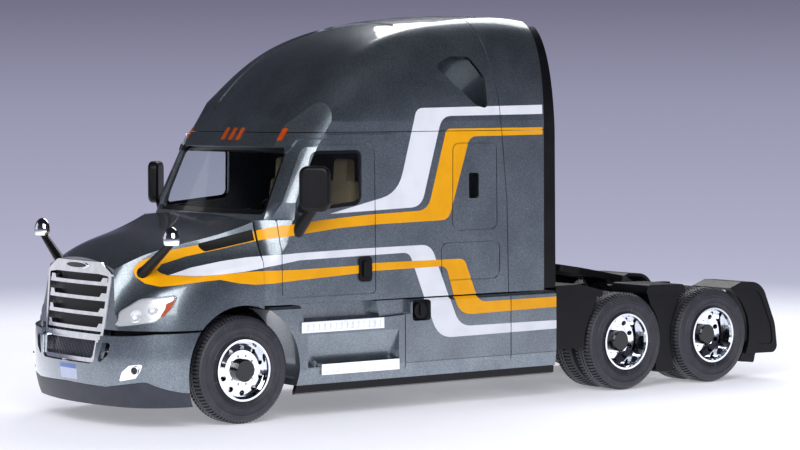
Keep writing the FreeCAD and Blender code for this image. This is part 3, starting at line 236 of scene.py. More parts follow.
def softVinyl():
    # soft vinyl tyre: matt black with a dusty grey bloom
    material, tree, shader, where = startMaterial("softVinyl")
    bloom = addNode(tree, "ShaderNodeTexNoise", None,
                    {"Scale": 1 / (vinylLook["bloomMm"] * mm), "Detail": 4.0}, {"Vector": where})
    colour = addNode(tree, "ShaderNodeValToRGB", None, None, {"Fac": bloom.outputs["Fac"]},
                     [(0.3, toLinear(vinylLook["base"])), (0.75, toLinear(vinylLook["dusty"]))])
    tree.links.new(colour.outputs["Color"], shader.inputs["Base Color"])
    grit = addNode(tree, "ShaderNodeTexNoise", None, {"Scale": 1 / (vinylLook["gritMm"] * mm), "Detail": 3.0},
                   {"Vector": where})
    bump = addNode(tree, "ShaderNodeBump", None,
                   {"Strength": vinylLook["grit"], "Distance": vinylLook["gritDeepMm"] * mm},
                   {"Height": grit.outputs["Fac"]})
    tree.links.new(bump.outputs["Normal"], shader.inputs["Normal"])
    shader.inputs["Roughness"].default_value = vinylLook["roughness"]
    return material


print("making materials")
lacquer = metallicLacquer()
whiteInk = printedInk("whiteInk", "#e9ebf2", "#dfe2ea")
orangeInk = printedInk("orangeInk", "#f2a900", "#e8a000")
satinBlack = mouldedPlastic("satinBlack", "#09090c", "#101014", 0.38)
glossBlack = mouldedPlastic("glossBlack", "#08090a", "#101113", 0.2, 0.4, 0.1, 0.5)
chassisBlack = mouldedPlastic("chassisBlack", "#08080a", "#0e0e11", 0.45)
trimGrey = mouldedPlastic("trimGrey", "#3e3e46", "#4a4a53", 0.6)
seatBeige = mouldedPlastic("seatBeige", "#b39f80", "#c2af90", 0.6)
brightChrome = platedChrome("brightChrome", "#d6d9de", 0.06)
lampSilver = platedChrome("lampSilver", "#e4e7ec", 0.3)
pinSteel = platedChrome("pinSteel", "#9a9c9f", 0.25)
glazing = clearMoulding("glazing", "#eef2f2", 0.01, 1.12)
lampClear = clearMoulding("lampClear", "#f6f8fa", 0.02, 1.45, 0.22)
amberPlastic = mouldedPlastic("amberPlastic", "#a23c05", "#b84a0a", 0.35, 0.5, 0.05)
redPlastic = mouldedPlastic("redPlastic", "#7c0b0b", "#a01414", 0.15, 0.5, 0.05, 0.8)
valanceGrey = mouldedPlastic("valanceGrey", "#3c3e46", "#474953", 0.5)
plateBlue = printedInk("plateBlue", "#6b86c6", "#5d78ba")
plateWhite = printedInk("plateWhite", "#d3dbef", "#c4cee8")
vinyl = softVinyl()
flashGrey = mouldedPlastic("flashGrey", "#5b5b62", "#6b6b72", 0.6)

slotLooks = {
    "paint": lacquer, "glass": glazing, "lamp_lens": lampClear, "amber_lens": amberPlastic,
    "red_lens": redPlastic, "chrome": brightChrome, "black_plastic": satinBlack, "cab_trim": trimGrey,
    "seat_beige": seatBeige, "chassis_black": chassisBlack, "pin_steel": pinSteel, "tyre": vinyl,
    "rim_chrome": brightChrome, "hub_black": glossBlack,
}
for part in frame["record"]["subparts"]:
    node = frame["nodes"][part["node"]]
    node.data.materials.clear()
    node.data.materials.append(slotLooks[part["material_slot"]])
frame["nodes"]["fog_lamps"].data.materials[0] = brightChrome
frame["nodes"]["bumper_valance"].data.materials[0] = valanceGrey


def deselect():
    bpy.ops.object.select_all(action="DESELECT")


def finishPiece(piece, name, material, body="chassis"):
    # place kept in the mesh, named, painted, and carried by its body
    deselect()
    piece.select_set(True)
    bpy.context.view_layer.objects.active = piece
    bpy.ops.object.transform_apply(location=True, rotation=True, scale=True)
    piece.name = name
    if material:
        piece.data.materials.clear()
        piece.data.materials.append(material)
    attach(piece, body)


def pickFaces(piece, test):
    # edit mode, with the faces picked whose middle and normal pass the test
    deselect()
    piece.select_set(True)
    bpy.context.view_layer.objects.active = piece
    bpy.ops.object.mode_set(mode="EDIT")
    bpy.ops.mesh.select_mode(type="FACE")
    bpy.ops.mesh.select_all(action="DESELECT")
    shape = bmesh.from_edit_mesh(piece.data)
    for face in shape.faces:
        face.select_set(bool(test(face.calc_center_median(), face.normal)))
    bmesh.update_edit_mesh(piece.data)


def keepFaces(piece, test):
    pickFaces(piece, lambda middle, normal: not test(middle, normal))
    bpy.ops.mesh.delete(type="FACE")
    bpy.ops.object.mode_set(mode="OBJECT")


def applyModifier(piece, kind, **settings):
    deselect()
    piece.select_set(True)
    bpy.context.view_layer.objects.active = piece
    modifier = piece.modifiers.new(kind, kind)
    for key, value in settings.items():
        setattr(modifier, key, value)
    bpy.ops.object.modifier_apply(modifier=modifier.name)


def skinCopy(nodeName):
    # a copy of a CAD skin with its loose triangles merged
    skin = bpy.data.objects.new(nodeName + "Skin", frame["nodes"][nodeName].data.copy())
    bpy.context.scene.collection.objects.link(skin)
    deselect()
    skin.select_set(True)
    bpy.context.view_layer.objects.active = skin
    bpy.ops.mesh.customdata_custom_splitnormals_clear()
    bpy.ops.object.mode_set(mode="EDIT")
    bpy.ops.mesh.select_all(action="SELECT")
    bpy.ops.mesh.remove_doubles(threshold=weldGap)
    bpy.ops.object.mode_set(mode="OBJECT")
    return skin


def softCorners(outline, steps=6):
    # outline points in mm, each with an optional corner radius
    smooth = []
    for i, (a, b, *radius) in enumerate(outline):
        here = Vector((a, b))
        if not radius:
            smooth.append(here)
            continue
        before = (Vector(outline[i - 1][:2]) - here).normalized()
        after = (Vector(outline[(i + 1) % len(outline)][:2]) - here).normalized()
        reach = radius[0] / math.tan(before.angle(after) / 2)
        start, end = here + before * reach, here + after * reach
        for k in range(steps + 1):
            t = k / steps
            smooth.append(start.lerp(here, t).lerp(here.lerp(end, t), t))
    return smooth


def pulledOutline(outline, low, high, across="y"):
    # an outline in mm pulled out sideways (x, z points) or forwards (y, z points) into a solid
    points = softCorners(outline)
    deselect()
    bpy.ops.mesh.primitive_circle_add(vertices=len(points), radius=mm, fill_type="NGON")
    solid = bpy.context.object
    for vertex, (a, b) in zip(solid.data.vertices, points):
        vertex.co = (((a + axleX) * mm, low * mm, b * mm) if across == "y" else
                     ((low + axleX) * mm, a * mm, b * mm))
    bpy.ops.object.mode_set(mode="EDIT")
    bpy.ops.mesh.select_all(action="SELECT")
    depth = (high - low) * mm
    bpy.ops.mesh.extrude_region_move(
        TRANSFORM_OT_translate={"value": (0, depth, 0) if across == "y" else (depth, 0, 0)})
    bpy.ops.mesh.select_all(action="SELECT")
    bpy.ops.mesh.normals_make_consistent(inside=False)
    bpy.ops.object.mode_set(mode="OBJECT")
    return solid


def carve(piece, cutter, how, crossesItself=False):
    applyModifier(piece, "BOOLEAN", operation=how, solver="EXACT", object=cutter, use_self=crossesItself)
    bpy.data.objects.remove(cutter)


def filmOn(name, material, nodeNames, outline, span, across, how, facing, thicknessMm):
    # a thin print or moulding that follows the CAD skins inside (or outside) the pulled outline
    films = []
    for nodeName in nodeNames:
        film = skinCopy(nodeName)
        carve(film, pulledOutline(outline, *span, across), how, nodeName == "roof_cap")
        keepFaces(film, facing)
        if film.data.polygons:
            films.append(film)
        else:
            bpy.data.objects.remove(film)
    deselect()
    for film in films:
        film.select_set(True)
    bpy.context.view_layer.objects.active = films[0]
    if len(films) > 1:
        bpy.ops.object.join()
    film = films[0]
    applyModifier(film, "SOLIDIFY", thickness=thicknessMm * mm, offset=1, use_even_offset=True)
    finishPiece(film, name, material)
    bpy.ops.object.shade_smooth_by_angle(angle=printCrease)


print("printing the stripes")
# side outlines of the stripes: mm behind (-) and ahead of the front axle, height, corner radius
stripes = {
    "upperWhite": [(-22.8, 45.3), (-41.8, 49.5, 8), (-47.2, 68.7, 2.3), (-84.0, 69.3), (-84.0, 67.15),
                   (-54.3, 66.85, 3.6), (-48.3, 46.2, 4)],
    "lowerWhite": [(15.1, 32.95), (10.4, 34.4), (3.8, 35.6), (-1.8, 36.3), (-5.4, 36.5), (-14.6, 36.9),
                   (-32.5, 37.3), (-50.9, 37.5, 4), (-59.0, 18.3, 5), (-90.0, 18.2), (-90.0, 16.2),
                   (-52.8, 15.9, 6), (-44.8, 35.9, 2.5), (-14.6, 35.3), (-5.8, 34.0), (-0.5, 33.3),
                   (5.4, 32.9), (10.6, 32.7)],
    "orange": [(-84.0, 64.0), (-55.6, 63.95, 1.6), (-50.2, 45.4, 4), (-32.9, 44.8), (-19.4, 43.9),
               (-11.2, 43.1), (-7.0, 42.3), (6.9, 39.1), (12.1, 38.2), (15.9, 36.9), (18.6, 36.0),
               (19.9, 35.1), (20.7, 33.9), (20.6, 32.5), (19.7, 31.2), (17.9, 30.6), (14.4, 31.0),
               (10.0, 31.5), (5.6, 31.8), (0.8, 30.8), (-3.0, 30.4), (-7.0, 30.4), (-14.6, 30.9),
               (-30.0, 31.7), (-34.4, 32.1), (-55.3, 32.4, 2.2), (-58.9, 20.9, 5), (-90.0, 21.4),
               (-90.0, 23.8), (-64.7, 23.7, 3), (-60.6, 33.9, 2.2), (-34.5, 33.9), (-30.0, 33.5),
               (-14.6, 33.2), (-3.7, 33.3), (-0.5, 33.2), (5.4, 32.9), (10.6, 32.6), (15.4, 32.9),
               (16.4, 33.4), (16.6, 34.1), (15.3, 35.2), (10.3, 36.7), (5.8, 37.6), (3.1, 38.1),
               (-1.7, 39.1), (-6.6, 40.0), (-15.7, 41.1), (-26.0, 42.1), (-36.5, 42.6), (-56.1, 43.0, 3),
               (-62.3, 62.1, 2.6), (-84.0, 62.3)],
}
stripeLook = {"whiteMm": 0.03, "orangeMm": 0.045, "sidewaysMm": 13, "facing": 0.15}
sideSkins = ["cab_shell", "roof_cap", "hood", "side_fairing_left", "side_fairing_right"]


def onFlank(middle, normal):
    return (normal.y * middle.y > 0 and abs(normal.y) > stripeLook["facing"]
            and abs(middle.y) > stripeLook["sidewaysMm"] * mm)


for stripeName, outline in stripes.items():
    orange = stripeName == "orange"
    filmOn(stripeName + "Stripe", orangeInk if orange else whiteInk, sideSkins, outline, bothSides,
           "y", "INTERSECT", onFlank, stripeLook["orangeMm" if orange else "whiteMm"])

dripRailMm = 0.45
dripRail = [(-13.7, 58.0), (-14.5, 58.0), (-17.6, 61.9, 1.0), (-41.5, 62.3), (-41.5, 63.1),
            (-17.2, 62.9, 1.2)]
filmOn("dripRails", lacquer, ["cab_shell", "roof_cap"], dripRail, bothSides, "y", "INTERSECT",
       onFlank, dripRailMm)

print("window edges")
screenLow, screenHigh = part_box("windscreen")
screenEdge = {"side": 1.5, "foot": 1.0, "head": 1.1, "narrowing": 0.5, "footRadius": 1.4, "headRadius": 1.2,
              "span": (-60, 20)}
glassFilm = {"facing": 0.15, "thickMm": 0.03}
screenHalf, screenFoot, screenHead = screenHigh.y / mm, screenLow.z / mm, screenHigh.z / mm
footHalf = screenHalf - screenEdge["side"]
headHalf = footHalf - screenEdge["narrowing"]
screenHole = [(-footHalf, screenFoot + screenEdge["foot"], screenEdge["footRadius"]),
              (footHalf, screenFoot + screenEdge["foot"], screenEdge["footRadius"]),
              (headHalf, screenHead - screenEdge["head"], screenEdge["headRadius"]),
              (-headHalf, screenHead - screenEdge["head"], screenEdge["headRadius"])]
filmOn("windscreenEdge", glossBlack, ["windscreen"], screenHole, screenEdge["span"], "x",
       "DIFFERENCE", lambda middle, normal: normal.x > glassFilm["facing"], glassFilm["thickMm"])
doorHole = [(-14.9, 46.5, 0.6), (-31.0, 48.0, 1.6), (-31.1, 58.7, 1.2), (-18.9, 58.7, 1.8)]
filmOn("doorWindowEdge", glossBlack, ["door_glass"], doorHole, bothSides, "y", "DIFFERENCE",
       lambda middle, normal: normal.y * middle.y > 0 and abs(normal.y) > glassFilm["facing"],
       glassFilm["thickMm"])

print("lamps")
amberStrip = [(17.9, 27.0), (16.7, 27.6), (15.9, 28.2), (17.3, 25.6), (18.9, 24.2), (19.2, 24.4),
              (18.2, 26.0)]
amberFilm = {"facing": 0.1, "thickMm": 0.03}
filmOn("headlampTurnStrips", amberPlastic, ["headlamps"], amberStrip, bothSides, "y",
       "INTERSECT", lambda middle, normal: normal.y * middle.y > 0 and abs(normal.y) > amberFilm["facing"],
       amberFilm["thickMm"])

# bowls as x, y, z and radius
reflectorLook = {"facing": 0.06, "behindMm": 0.12, "thickMm": 1.5,
                 "bowls": [(23.2, 20.6, 24.5, 1.75), (20.6, 23.6, 26.0, 1.7)]}


def makeReflectors():
    # a plated tray behind each lens, with two round bowls sunk into it
    tray = skinCopy("headlamps")
    keepFaces(tray, lambda middle, normal: normal.y * math.copysign(1, middle.y) < -reflectorLook["facing"])
    applyModifier(tray, "DISPLACE", strength=reflectorLook["behindMm"] * mm, mid_level=0)
    applyModifier(tray, "SOLIDIFY", thickness=reflectorLook["thickMm"] * mm, offset=1, use_even_offset=False)
    for sideSign in (1, -1):
        for x, y, z, radius in reflectorLook["bowls"]:
            deselect()
            bpy.ops.mesh.primitive_uv_sphere_add(segments=32, ring_count=16, radius=radius * mm,
                                                 location=((x + axleX) * mm, sideSign * y * mm, z * mm))
            carve(tray, bpy.context.object, "DIFFERENCE")
    finishPiece(tray, "headlampReflectors", lampSilver)
    bpy.ops.object.shade_smooth_by_angle(angle=pieceCrease)


makeReflectors()

fogLook = {"bulb": (23.95, 22.2, 12.85), "radiusMm": 0.95, "depthMm": 1.2, "turn": 28, "facing": 0.6,
           "collarMm": 0.16, "lipMm": 0.03, "sunkMm": 0.2}


def makeFogBulbs():
    # a dark round glass in a plated collar, at the outer end of each fog lamp
    x, y, z = fogLook["bulb"]
    for sideSign, sideName in ((1, "Left"), (-1, "Right")):
        turn = math.radians(fogLook["turn"] * sideSign)
        deselect()
        bpy.ops.mesh.primitive_cylinder_add(vertices=32, radius=fogLook["radiusMm"] * mm,
                                            depth=fogLook["depthMm"] * mm,
                                            location=((x + axleX) * mm, sideSign * y * mm, z * mm),
                                            rotation=(0, math.pi / 2, turn))
        bulb = bpy.context.object
        bpy.ops.object.transform_apply(location=False, rotation=True, scale=True)
        bulb.data.materials.append(brightChrome)
        bulb.data.materials.append(glossBlack)
        pickFaces(bulb, lambda middle, normal: normal.x > fogLook["facing"])
        bpy.ops.mesh.inset(thickness=fogLook["collarMm"] * mm, depth=0)
        bpy.ops.mesh.inset(thickness=fogLook["lipMm"] * mm, depth=-fogLook["sunkMm"] * mm)
        bulb.active_material_index = 1
        bpy.ops.object.material_slot_assign()
        bpy.ops.object.mode_set(mode="OBJECT")
        finishPiece(bulb, "fogBulb" + sideName, None)
        bpy.ops.object.shade_smooth_by_angle(angle=pieceCrease)


makeFogBulbs()

print("grille mesh, badge and plate")
latticeLook = {"low": 13.6, "high": 21.2, "half": 12.0, "ahead": 26.0, "sheetMm": 40, "flattened": 0.62,
               "pitchMm": 1.0, "wireMm": 0.3, "thickMm": 0.12, "proudMm": 0.12, "facing": 0.3}


def makeLattice():
    # a pressed sheet of flat diamonds laid over the dark backing of the lower grille
    sheet, low, high, half = (latticeLook[key] for key in ("sheetMm", "low", "high", "half"))
    count = round(sheet / latticeLook["pitchMm"])
    deselect()
    bpy.ops.mesh.primitive_grid_add(x_subdivisions=count, y_subdivisions=count, size=sheet * mm,
                                    rotation=(0, 0, math.radians(45)))
    lattice = bpy.context.object
    lattice.scale = (latticeLook["flattened"], 1.0, 1.0)  # the diamonds lie flat: wide in y, low in z
    bpy.ops.object.transform_apply(location=True, rotation=True, scale=True)
    lattice.rotation_euler = (0, math.radians(90), 0)
    lattice.location = ((latticeLook["ahead"] + axleX) * mm, 0, (low + high) / 2 * mm)
    bpy.ops.object.transform_apply(location=True, rotation=True, scale=True)
    bpy.ops.object.mode_set(mode="EDIT")
    for place, normal in (((0, 0, low), (0, 0, -1)), ((0, 0, high), (0, 0, 1)),
                          ((0, half, 0), (0, 1, 0)), ((0, -half, 0), (0, -1, 0))):
        bpy.ops.mesh.select_all(action="SELECT")
        bpy.ops.mesh.bisect(plane_co=[c * mm for c in place], plane_no=normal, clear_outer=True)
    bpy.ops.object.mode_set(mode="OBJECT")
    backing = skinCopy("grille_mesh")
    keepFaces(backing, lambda middle, normal: normal.x > latticeLook["facing"])
    applyModifier(lattice, "SHRINKWRAP", target=backing, wrap_method="PROJECT", use_project_x=True,
                  use_negative_direction=True, use_positive_direction=True,
                  offset=latticeLook["proudMm"] * mm)
    bpy.data.objects.remove(backing)
    pickFaces(lattice, lambda middle, normal: True)
    bpy.ops.mesh.inset(use_individual=True, thickness=latticeLook["wireMm"] / 2 * mm, depth=0)
    bpy.ops.mesh.delete(type="FACE")
    bpy.ops.object.mode_set(mode="OBJECT")
    applyModifier(lattice, "SOLIDIFY", thickness=latticeLook["thickMm"] * mm, offset=0)
    finishPiece(lattice, "lowerGrilleWire", valanceGrey)


makeLattice()

badgeLook = {"height": 34.6, "halfWidth": 4.6, "halfHeight": 0.85, "points": 48, "span": (20, 30),
             "facing": 0.2, "rimMm": 0.3, "thickMm": 0.25, "fieldMm": 0.28}


def makeBadge():
    # a blank oval: bright rim round a dark field, laid on the brow of the grille
    for name, material, slotName, inset, thick in (
            ("blankOvalBadge", brightChrome, "chrome", 0, badgeLook["thickMm"]),
            ("blankBadgeField", glossBlack, "black_plastic", badgeLook["rimMm"], badgeLook["fieldMm"])):
        across, up = badgeLook["halfWidth"] - inset, badgeLook["halfHeight"] - inset
        oval = [(across * math.cos(turn), badgeLook["height"] + up * math.sin(turn))
                for turn in (2 * math.pi * i / badgeLook["points"] for i in range(badgeLook["points"]))]
        filmOn(name, material, ["grille_frame"], oval, badgeLook["span"], "x", "INTERSECT",
               lambda middle, normal: normal.x > badgeLook["facing"], thick)


makeBadge()

plateOutline = [(-1.9, 9.85, 0.3), (5.0, 9.85, 0.3), (5.0, 12.2), (-1.9, 12.2)]
bandOutline = [(-1.9, 12.2), (5.0, 12.2), (5.0, 13.2, 0.3), (-1.9, 13.2, 0.3)]
# hardly proud: the bumper is foremost here, and the print stays within its box
plateLook = {"span": (22, 40), "facing": 0.5, "ahead": 27.6, "thickMm": 0.004}


def onPlate(middle, normal):
    return normal.x > plateLook["facing"] and middle.x > (plateLook["ahead"] + axleX) * mm


for name, material, outline in (("blankPlate", plateWhite, plateOutline),
                                ("blankPlateBand", plateBlue, bandOutline)):
    filmOn(name, material, ["front_bumper"], outline, plateLook["span"], "x", "INTERSECT", onPlate,
           plateLook["thickMm"])

print("tyres")
tyreLook = {"radius": 11.8, "width": 6.6, "columns": 168, "treadHalf": 2.0, "zigzagMm": 0.2, "crease": 22,
            "grooves": (-1.05, 0.0, 1.05), "grooveMm": 0.3, "grooveDeepMm": 0.45, "grooveLipMm": 0.02,
            "lugEvery": 2, "lugFromMm": 1.3, "lugDeepMm": 0.35, "lugLipMm": 0.03,
            # how far under the tread its faces, its cut lines and its shoulders still count as tread
            "bandMm": 0.2, "lineMm": 0.1, "shoulderMm": 0.5,
            # insets from tread edge to bead: how far in, how far out
            "sidewall": ((0.5, 0.8), (0.4, 0.28), (1.0, 0.22), (0.12, -0.14), (0.3, 0.0), (0.12, 0.12),
                         (1.0, -0.02), (0.1, -0.12), (0.18, 0.0), (0.1, 0.1), (1.3, -0.68), (0.1, -0.16))}
# mould flash on the sidewalls, by turns near the bead and near the tread: mm from the axle and outwards
tickLook = {"count": 9, "firstTurn": 0.3, "reach": (7.9, 10.35), "outwards": (3.14, 3.18),
            "sizeMm": (1.3, 0.1, 0.1), "lipMm": 0.02}


def makeTyre():
    # one tyre round the Y axis at the origin; the road wheels get copies
    half = tyreLook["treadHalf"]
    radius = tyreLook["radius"]
    deselect()
    bpy.ops.mesh.primitive_cylinder_add(vertices=tyreLook["columns"], radius=radius * mm, depth=2 * half * mm,
                                        rotation=(math.pi / 2, 0, 0))
    tyre = bpy.context.object
    bpy.ops.object.transform_apply(location=False, rotation=True, scale=True)
    pickFaces(tyre, lambda middle, normal: abs(normal.y) > 0.9)
    for inwards, outwards in tyreLook["sidewall"]:
        bpy.ops.mesh.inset(thickness=inwards * mm, depth=outwards * mm)
    bpy.ops.mesh.bridge_edge_loops()
    # tread: bisect the band, swing its cut lines into zigzags, then sink the grooves and the shoulder slots
    edges = sorted(place + side * tyreLook["grooveMm"] / 2
                   for place in tyreLook["grooves"] for side in (-1, 1))
    for place in edges:
        shape = bmesh.from_edit_mesh(tyre.data)
        for face in shape.faces:
            face.select_set(face.calc_center_median().xz.length > (radius - tyreLook["bandMm"]) * mm)
        bmesh.update_edit_mesh(tyre.data)
        bpy.ops.mesh.bisect(plane_co=(0, place * mm, 0), plane_no=(0, 1, 0))
    bpy.ops.mesh.select_mode(type="VERT")
    step = 2 * math.pi / tyreLook["columns"]
    for parity, swing in ((0, tyreLook["zigzagMm"]), (1, -tyreLook["zigzagMm"])):
        bpy.ops.mesh.select_all(action="DESELECT")
        shape = bmesh.from_edit_mesh(tyre.data)
        for vertex in shape.verts:
            x, y, z = vertex.co
            column = round(math.atan2(x, z) / step)
            vertex.select_set(vertex.co.xz.length > (radius - tyreLook["lineMm"]) * mm
                              and abs(y) < (edges[-1] + tyreLook["lineMm"]) * mm and column % 2 == parity)
        shape.select_flush_mode()
        bmesh.update_edit_mesh(tyre.data)
        bpy.ops.transform.translate(value=(0, swing * mm, 0))
    bpy.ops.object.mode_set(mode="OBJECT")
    pickFaces(tyre, lambda middle, normal: middle.xz.length > (radius - tyreLook["lineMm"]) * mm and min(
        abs(middle.y / mm - place) for place in tyreLook["grooves"]) < tyreLook["grooveMm"] / 2)
    bpy.ops.mesh.inset(thickness=tyreLook["grooveLipMm"] * mm, depth=-tyreLook["grooveDeepMm"] * mm)
    bpy.ops.object.mode_set(mode="OBJECT")
    pickFaces(tyre, lambda middle, normal: middle.xz.length > (radius - tyreLook["shoulderMm"]) * mm
              and abs(middle.y) > tyreLook["lugFromMm"] * mm
              and math.floor(math.atan2(middle.x, middle.z) / step) % tyreLook["lugEvery"] == 0)
    bpy.ops.mesh.inset(thickness=tyreLook["lugLipMm"] * mm, depth=-tyreLook["lugDeepMm"] * mm)
    bpy.ops.object.mode_set(mode="OBJECT")
    # radial ticks left by the mould on both sidewalls
    ticks = []
    for i in range(tickLook["count"]):
        angle = 2 * math.pi * i / tickLook["count"] + tickLook["firstTurn"]
        reach, outwards = tickLook["reach"][i % 2], tickLook["outwards"][i % 2]
        for sideSign in (1, -1):
            deselect()
            bpy.ops.mesh.primitive_cube_add(size=mm, location=(0, 0, 0))
            tick = bpy.context.object
            tick.scale = tickLook["sizeMm"]
            bpy.ops.object.transform_apply(location=False, rotation=False, scale=True)
            pickFaces(tick, lambda middle, normal: normal.y * sideSign > 0.9)
            bpy.ops.mesh.inset(thickness=tickLook["lipMm"] * mm, depth=tickLook["lipMm"] * mm)
            bpy.ops.object.mode_set(mode="OBJECT")
            tick.matrix_world = (Matrix.Rotation(angle, 4, "Y")
                                 @ Matrix.Translation((reach * mm, sideSign * outwards * mm, 0)))
            bpy.ops.object.transform_apply(location=True, rotation=True, scale=True)
            tick.data.materials.append(flashGrey)
            ticks.append(tick)
    deselect()
    tyre.data.materials.append(vinyl)
    for tick in ticks:
        tick.select_set(True)
    tyre.select_set(True)
    bpy.context.view_layer.objects.active = tyre
    bpy.ops.object.join()
    bpy.ops.object.shade_smooth_by_angle(angle=math.radians(tyreLook["crease"]))
    return tyre


masterTyre = makeTyre()
for wheelName in ("front", "rear1", "rear2"):
    for sideName in ("left", "right"):
        nodeName = f"{wheelName}_tyre_{sideName}"
        low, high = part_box(nodeName)
        middle = (low + high) / 2
        halfWidth = tyreLook["width"] / 2 * mm
        rows = [low.y + halfWidth, high.y - halfWidth] if wheelName != "front" else [middle.y]
        copies = []
        deselect()
        for row in rows:
            copy = bpy.data.objects.new(nodeName + "Copy", masterTyre.data.copy())
            bpy.context.scene.collection.objects.link(copy)
            copy.location = (middle.x, row, middle.z)
            copy.select_set(True)
            copies.append(copy)
        bpy.context.view_layer.objects.active = copies[0]
        if len(copies) > 1:
            bpy.ops.object.join()
        whole = bpy.context.view_layer.objects.active
        finishPiece(whole, f"{wheelName}Tyre{sideName.capitalize()}", None,
                    frame["nodes"][nodeName]["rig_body"])
        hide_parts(nodeName)
bpy.data.objects.remove(masterTyre)


# camera, as the photograph was taken
cameraLook = {"place": (0.37618, 0.50690, 0.07048), "yaw": -126.354, "pitch": -2.721, "roll": -0.233,
              "focalPixels": 2623.1, "picturePixels": 800, "sensorMm": 36, "near": 0.01}


def makeCamera():
    yaw, pitch, roll = (math.radians(cameraLook[key]) for key in ("yaw", "pitch", "roll"))
    forward = Vector((math.cos(pitch) * math.cos(yaw), math.cos(pitch) * math.sin(yaw), math.sin(pitch)))
    right = forward.cross(Vector((0, 0, 1))).normalized()
    up = right.cross(forward)
    tiltedRight = right * math.cos(roll) + up * math.sin(roll)
    tiltedUp = -right * math.sin(roll) + up * math.cos(roll)
    data = bpy.data.cameras.new("photoCamera")
    data.sensor_width = cameraLook["sensorMm"]
    data.lens = cameraLook["focalPixels"] * cameraLook["sensorMm"] / cameraLook["picturePixels"]
    data.clip_start = cameraLook["near"]
    camera = bpy.data.objects.new("photoCamera", data)
    turned = Matrix((tiltedRight, tiltedUp, -forward)).transposed().to_4x4()
    camera.matrix_world = Matrix.Translation(cameraLook["place"]) @ turned
    bpy.context.scene.collection.objects.link(camera)
    bpy.context.scene.camera = camera


# softboxes in metres: place, aim, size and watts
lampLook = {"keySoftbox": ((0.42, 0.52, 0.40), (0, 0, 0.035), (0.55, 0.45), 4.6),
            "backSoftbox": ((-0.50, -0.36, 0.55), (-0.02, 0, 0.04), (0.6, 0.4), 3.0),
            "farSoftbox": ((0.52, -0.72, 0.2), (0.08, 0, 0.03), (0.5, 0.35), 0.4)}


def makeSoftbox(name, place, aim, size, watts):
    data = bpy.data.lights.new(name, "AREA")
    data.shape = "RECTANGLE"
    data.size, data.size_y = size
    data.energy = watts
    light = bpy.data.objects.new(name, data)
    light.location = place
    light.rotation_euler = (Vector(aim) - Vector(place)).to_track_quat("-Z", "Y").to_euler()
    bpy.context.scene.collection.objects.link(light)


# backdrop colours by the height of the line of sight, as the sine of its angle
backdropLook = {"low": -0.14, "high": 0.6,
                "stops": [(-0.13, "#ffffff"), (-0.105, "#eef0f9"), (-0.09, "#dadcec"), (-0.076, "#babcd2"),
                          (-0.04, "#a9a9c2"), (0.0, "#9696af"), (0.036, "#747389"), (0.15, "#4a4a58"),
                          (0.6, "#2a2a33")]}
stageLook = {"floor": "#f4f5fb", "floorShade": "#e9ebf3", "cloudMm": 120, "roughness": 0.7, "radius": 0.6,
             "below": 0.00005, "near": 0.19, "far": 0.42, "ambient": "#b4b5c4", "ambientStrength": 0.62,
             # how bright the paper is made for the eye, and how mirrors see backdrop and paper
             "lift": 0.3, "mirrored": 0.7, "mirroredLift": 0.95}


def makeWorld():
    # the eye, mirrors and glass see the graded studio backdrop; the light itself stays plain
    world = bpy.data.worlds.new("softStudio")
    bpy.context.scene.world = world
    world.use_nodes = True
    tree = world.node_tree
    ambient = tree.nodes["Background"]
    ambient.inputs["Color"].default_value = toLinear(stageLook["ambient"])
    ambient.inputs["Strength"].default_value = stageLook["ambientStrength"]
    coords = addNode(tree, "ShaderNodeTexCoord")
    split = addNode(tree, "ShaderNodeSeparateXYZ", None, None, {"Vector": coords.outputs["Generated"]})
    height = addNode(tree, "ShaderNodeMapRange", None,
                     {"From Min": backdropLook["low"], "From Max": backdropLook["high"]},
                     {"Value": split.outputs["Z"]})
    graded = addNode(tree, "ShaderNodeValToRGB", None, None, {"Fac": height.outputs["Result"]},
                     [((rise - backdropLook["low"]) / (backdropLook["high"] - backdropLook["low"]),
                       toLinear(colour)) for rise, colour in backdropLook["stops"]])
    backdrop = addNode(tree, "ShaderNodeBackground", None, None, {"Color": graded.outputs["Color"]})
    rays = addNode(tree, "ShaderNodeLightPath")
    looked = addNode(tree, "ShaderNodeMath", {"operation": "MAXIMUM"}, None,
                     {0: rays.outputs["Is Camera Ray"], 1: rays.outputs["Is Transmission Ray"]})
    looked = addNode(tree, "ShaderNodeMath", {"operation": "MAXIMUM"}, None,
                     {0: looked.outputs["Value"], 1: rays.outputs["Is Glossy Ray"]})
    mirrored = addNode(tree, "ShaderNodeMath", {"operation": "SUBTRACT", "use_clamp": True}, None,
                       {0: rays.outputs["Is Glossy Ray"], 1: rays.outputs["Is Transmission Ray"]})
    dimmed = addNode(tree, "ShaderNodeMath", {"operation": "MULTIPLY_ADD"},
                     {1: stageLook["mirrored"] - 1, 2: 1.0}, {0: mirrored.outputs["Value"]})
    tree.links.new(dimmed.outputs["Value"], backdrop.inputs["Strength"])
    mix = addNode(tree, "ShaderNodeMixShader", None, None,
                  {0: looked.outputs["Value"], 1: ambient.outputs["Background"],
                   2: backdrop.outputs["Background"]})
    tree.links.new(mix.outputs["Shader"], tree.nodes["World Output"].inputs["Surface"])


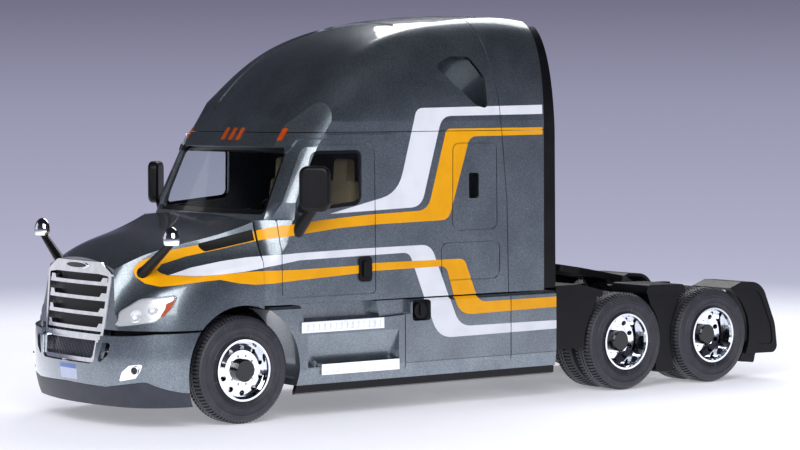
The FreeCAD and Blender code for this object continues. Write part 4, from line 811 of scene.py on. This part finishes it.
def makeFloor():
    # white paper sweep that fades into the backdrop behind the model
    deselect()
    bpy.ops.mesh.primitive_circle_add(vertices=96, radius=stageLook["radius"], fill_type="NGON",
                                      location=(0, 0, -stageLook["below"]))
    floor = bpy.context.object
    floor.name = "studioFloor"
    material, tree, shader, where = startMaterial("paperFloor")
    cloud = addNode(tree, "ShaderNodeTexNoise", None, {"Scale": 1 / (stageLook["cloudMm"] * mm)},
                    {"Vector": where})
    colour = addNode(tree, "ShaderNodeValToRGB", None, None, {"Fac": cloud.outputs["Fac"]},
                     [(0.3, toLinear(stageLook["floorShade"])), (0.7, toLinear(stageLook["floor"]))])
    tree.links.new(colour.outputs["Color"], shader.inputs["Base Color"])
    shader.inputs["Roughness"].default_value = stageLook["roughness"]
    distance = addNode(tree, "ShaderNodeVectorMath", {"operation": "LENGTH"}, None, {0: where})
    fade = addNode(tree, "ShaderNodeMapRange", {"interpolation_type": "SMOOTHSTEP"},
                   {"From Min": stageLook["near"], "From Max": stageLook["far"]},
                   {"Value": distance.outputs["Value"]})
    rays = addNode(tree, "ShaderNodeLightPath")
    seen = addNode(tree, "ShaderNodeMath", {"operation": "MAXIMUM"}, None,
                   {0: rays.outputs["Is Camera Ray"], 1: rays.outputs["Is Transmission Ray"]})
    lift = addNode(tree, "ShaderNodeMath", {"operation": "MULTIPLY"}, {1: stageLook["lift"]},
                   {0: seen.outputs["Value"]})
    mirrored = addNode(tree, "ShaderNodeMath", {"operation": "SUBTRACT", "use_clamp": True}, None,
                       {0: rays.outputs["Is Glossy Ray"], 1: rays.outputs["Is Transmission Ray"]})
    lift = addNode(tree, "ShaderNodeMath", {"operation": "MULTIPLY_ADD"}, {1: stageLook["mirroredLift"]},
                   {0: mirrored.outputs["Value"], 2: lift.outputs["Value"]})
    glow = addNode(tree, "ShaderNodeEmission", None, {"Color": toLinear(stageLook["floor"])},
                   {"Strength": lift.outputs["Value"]})
    paper = addNode(tree, "ShaderNodeAddShader", None, None,
                    {0: shader.outputs["BSDF"], 1: glow.outputs["Emission"]})
    clear = addNode(tree, "ShaderNodeBsdfTransparent")
    mix = addNode(tree, "ShaderNodeMixShader", None, None,
                  {0: fade.outputs["Result"], 1: paper.outputs["Shader"], 2: clear.outputs["BSDF"]})
    tree.links.new(mix.outputs["Shader"], tree.nodes["Material Output"].inputs["Surface"])
    floor.data.materials.append(material)


print("stage, light and camera")
makeCamera()
makeFloor()
makeWorld()
for lampName, settings in lampLook.items():
    makeSoftbox(lampName, *settings)
bpy.context.scene.view_settings.view_transform = "Standard"
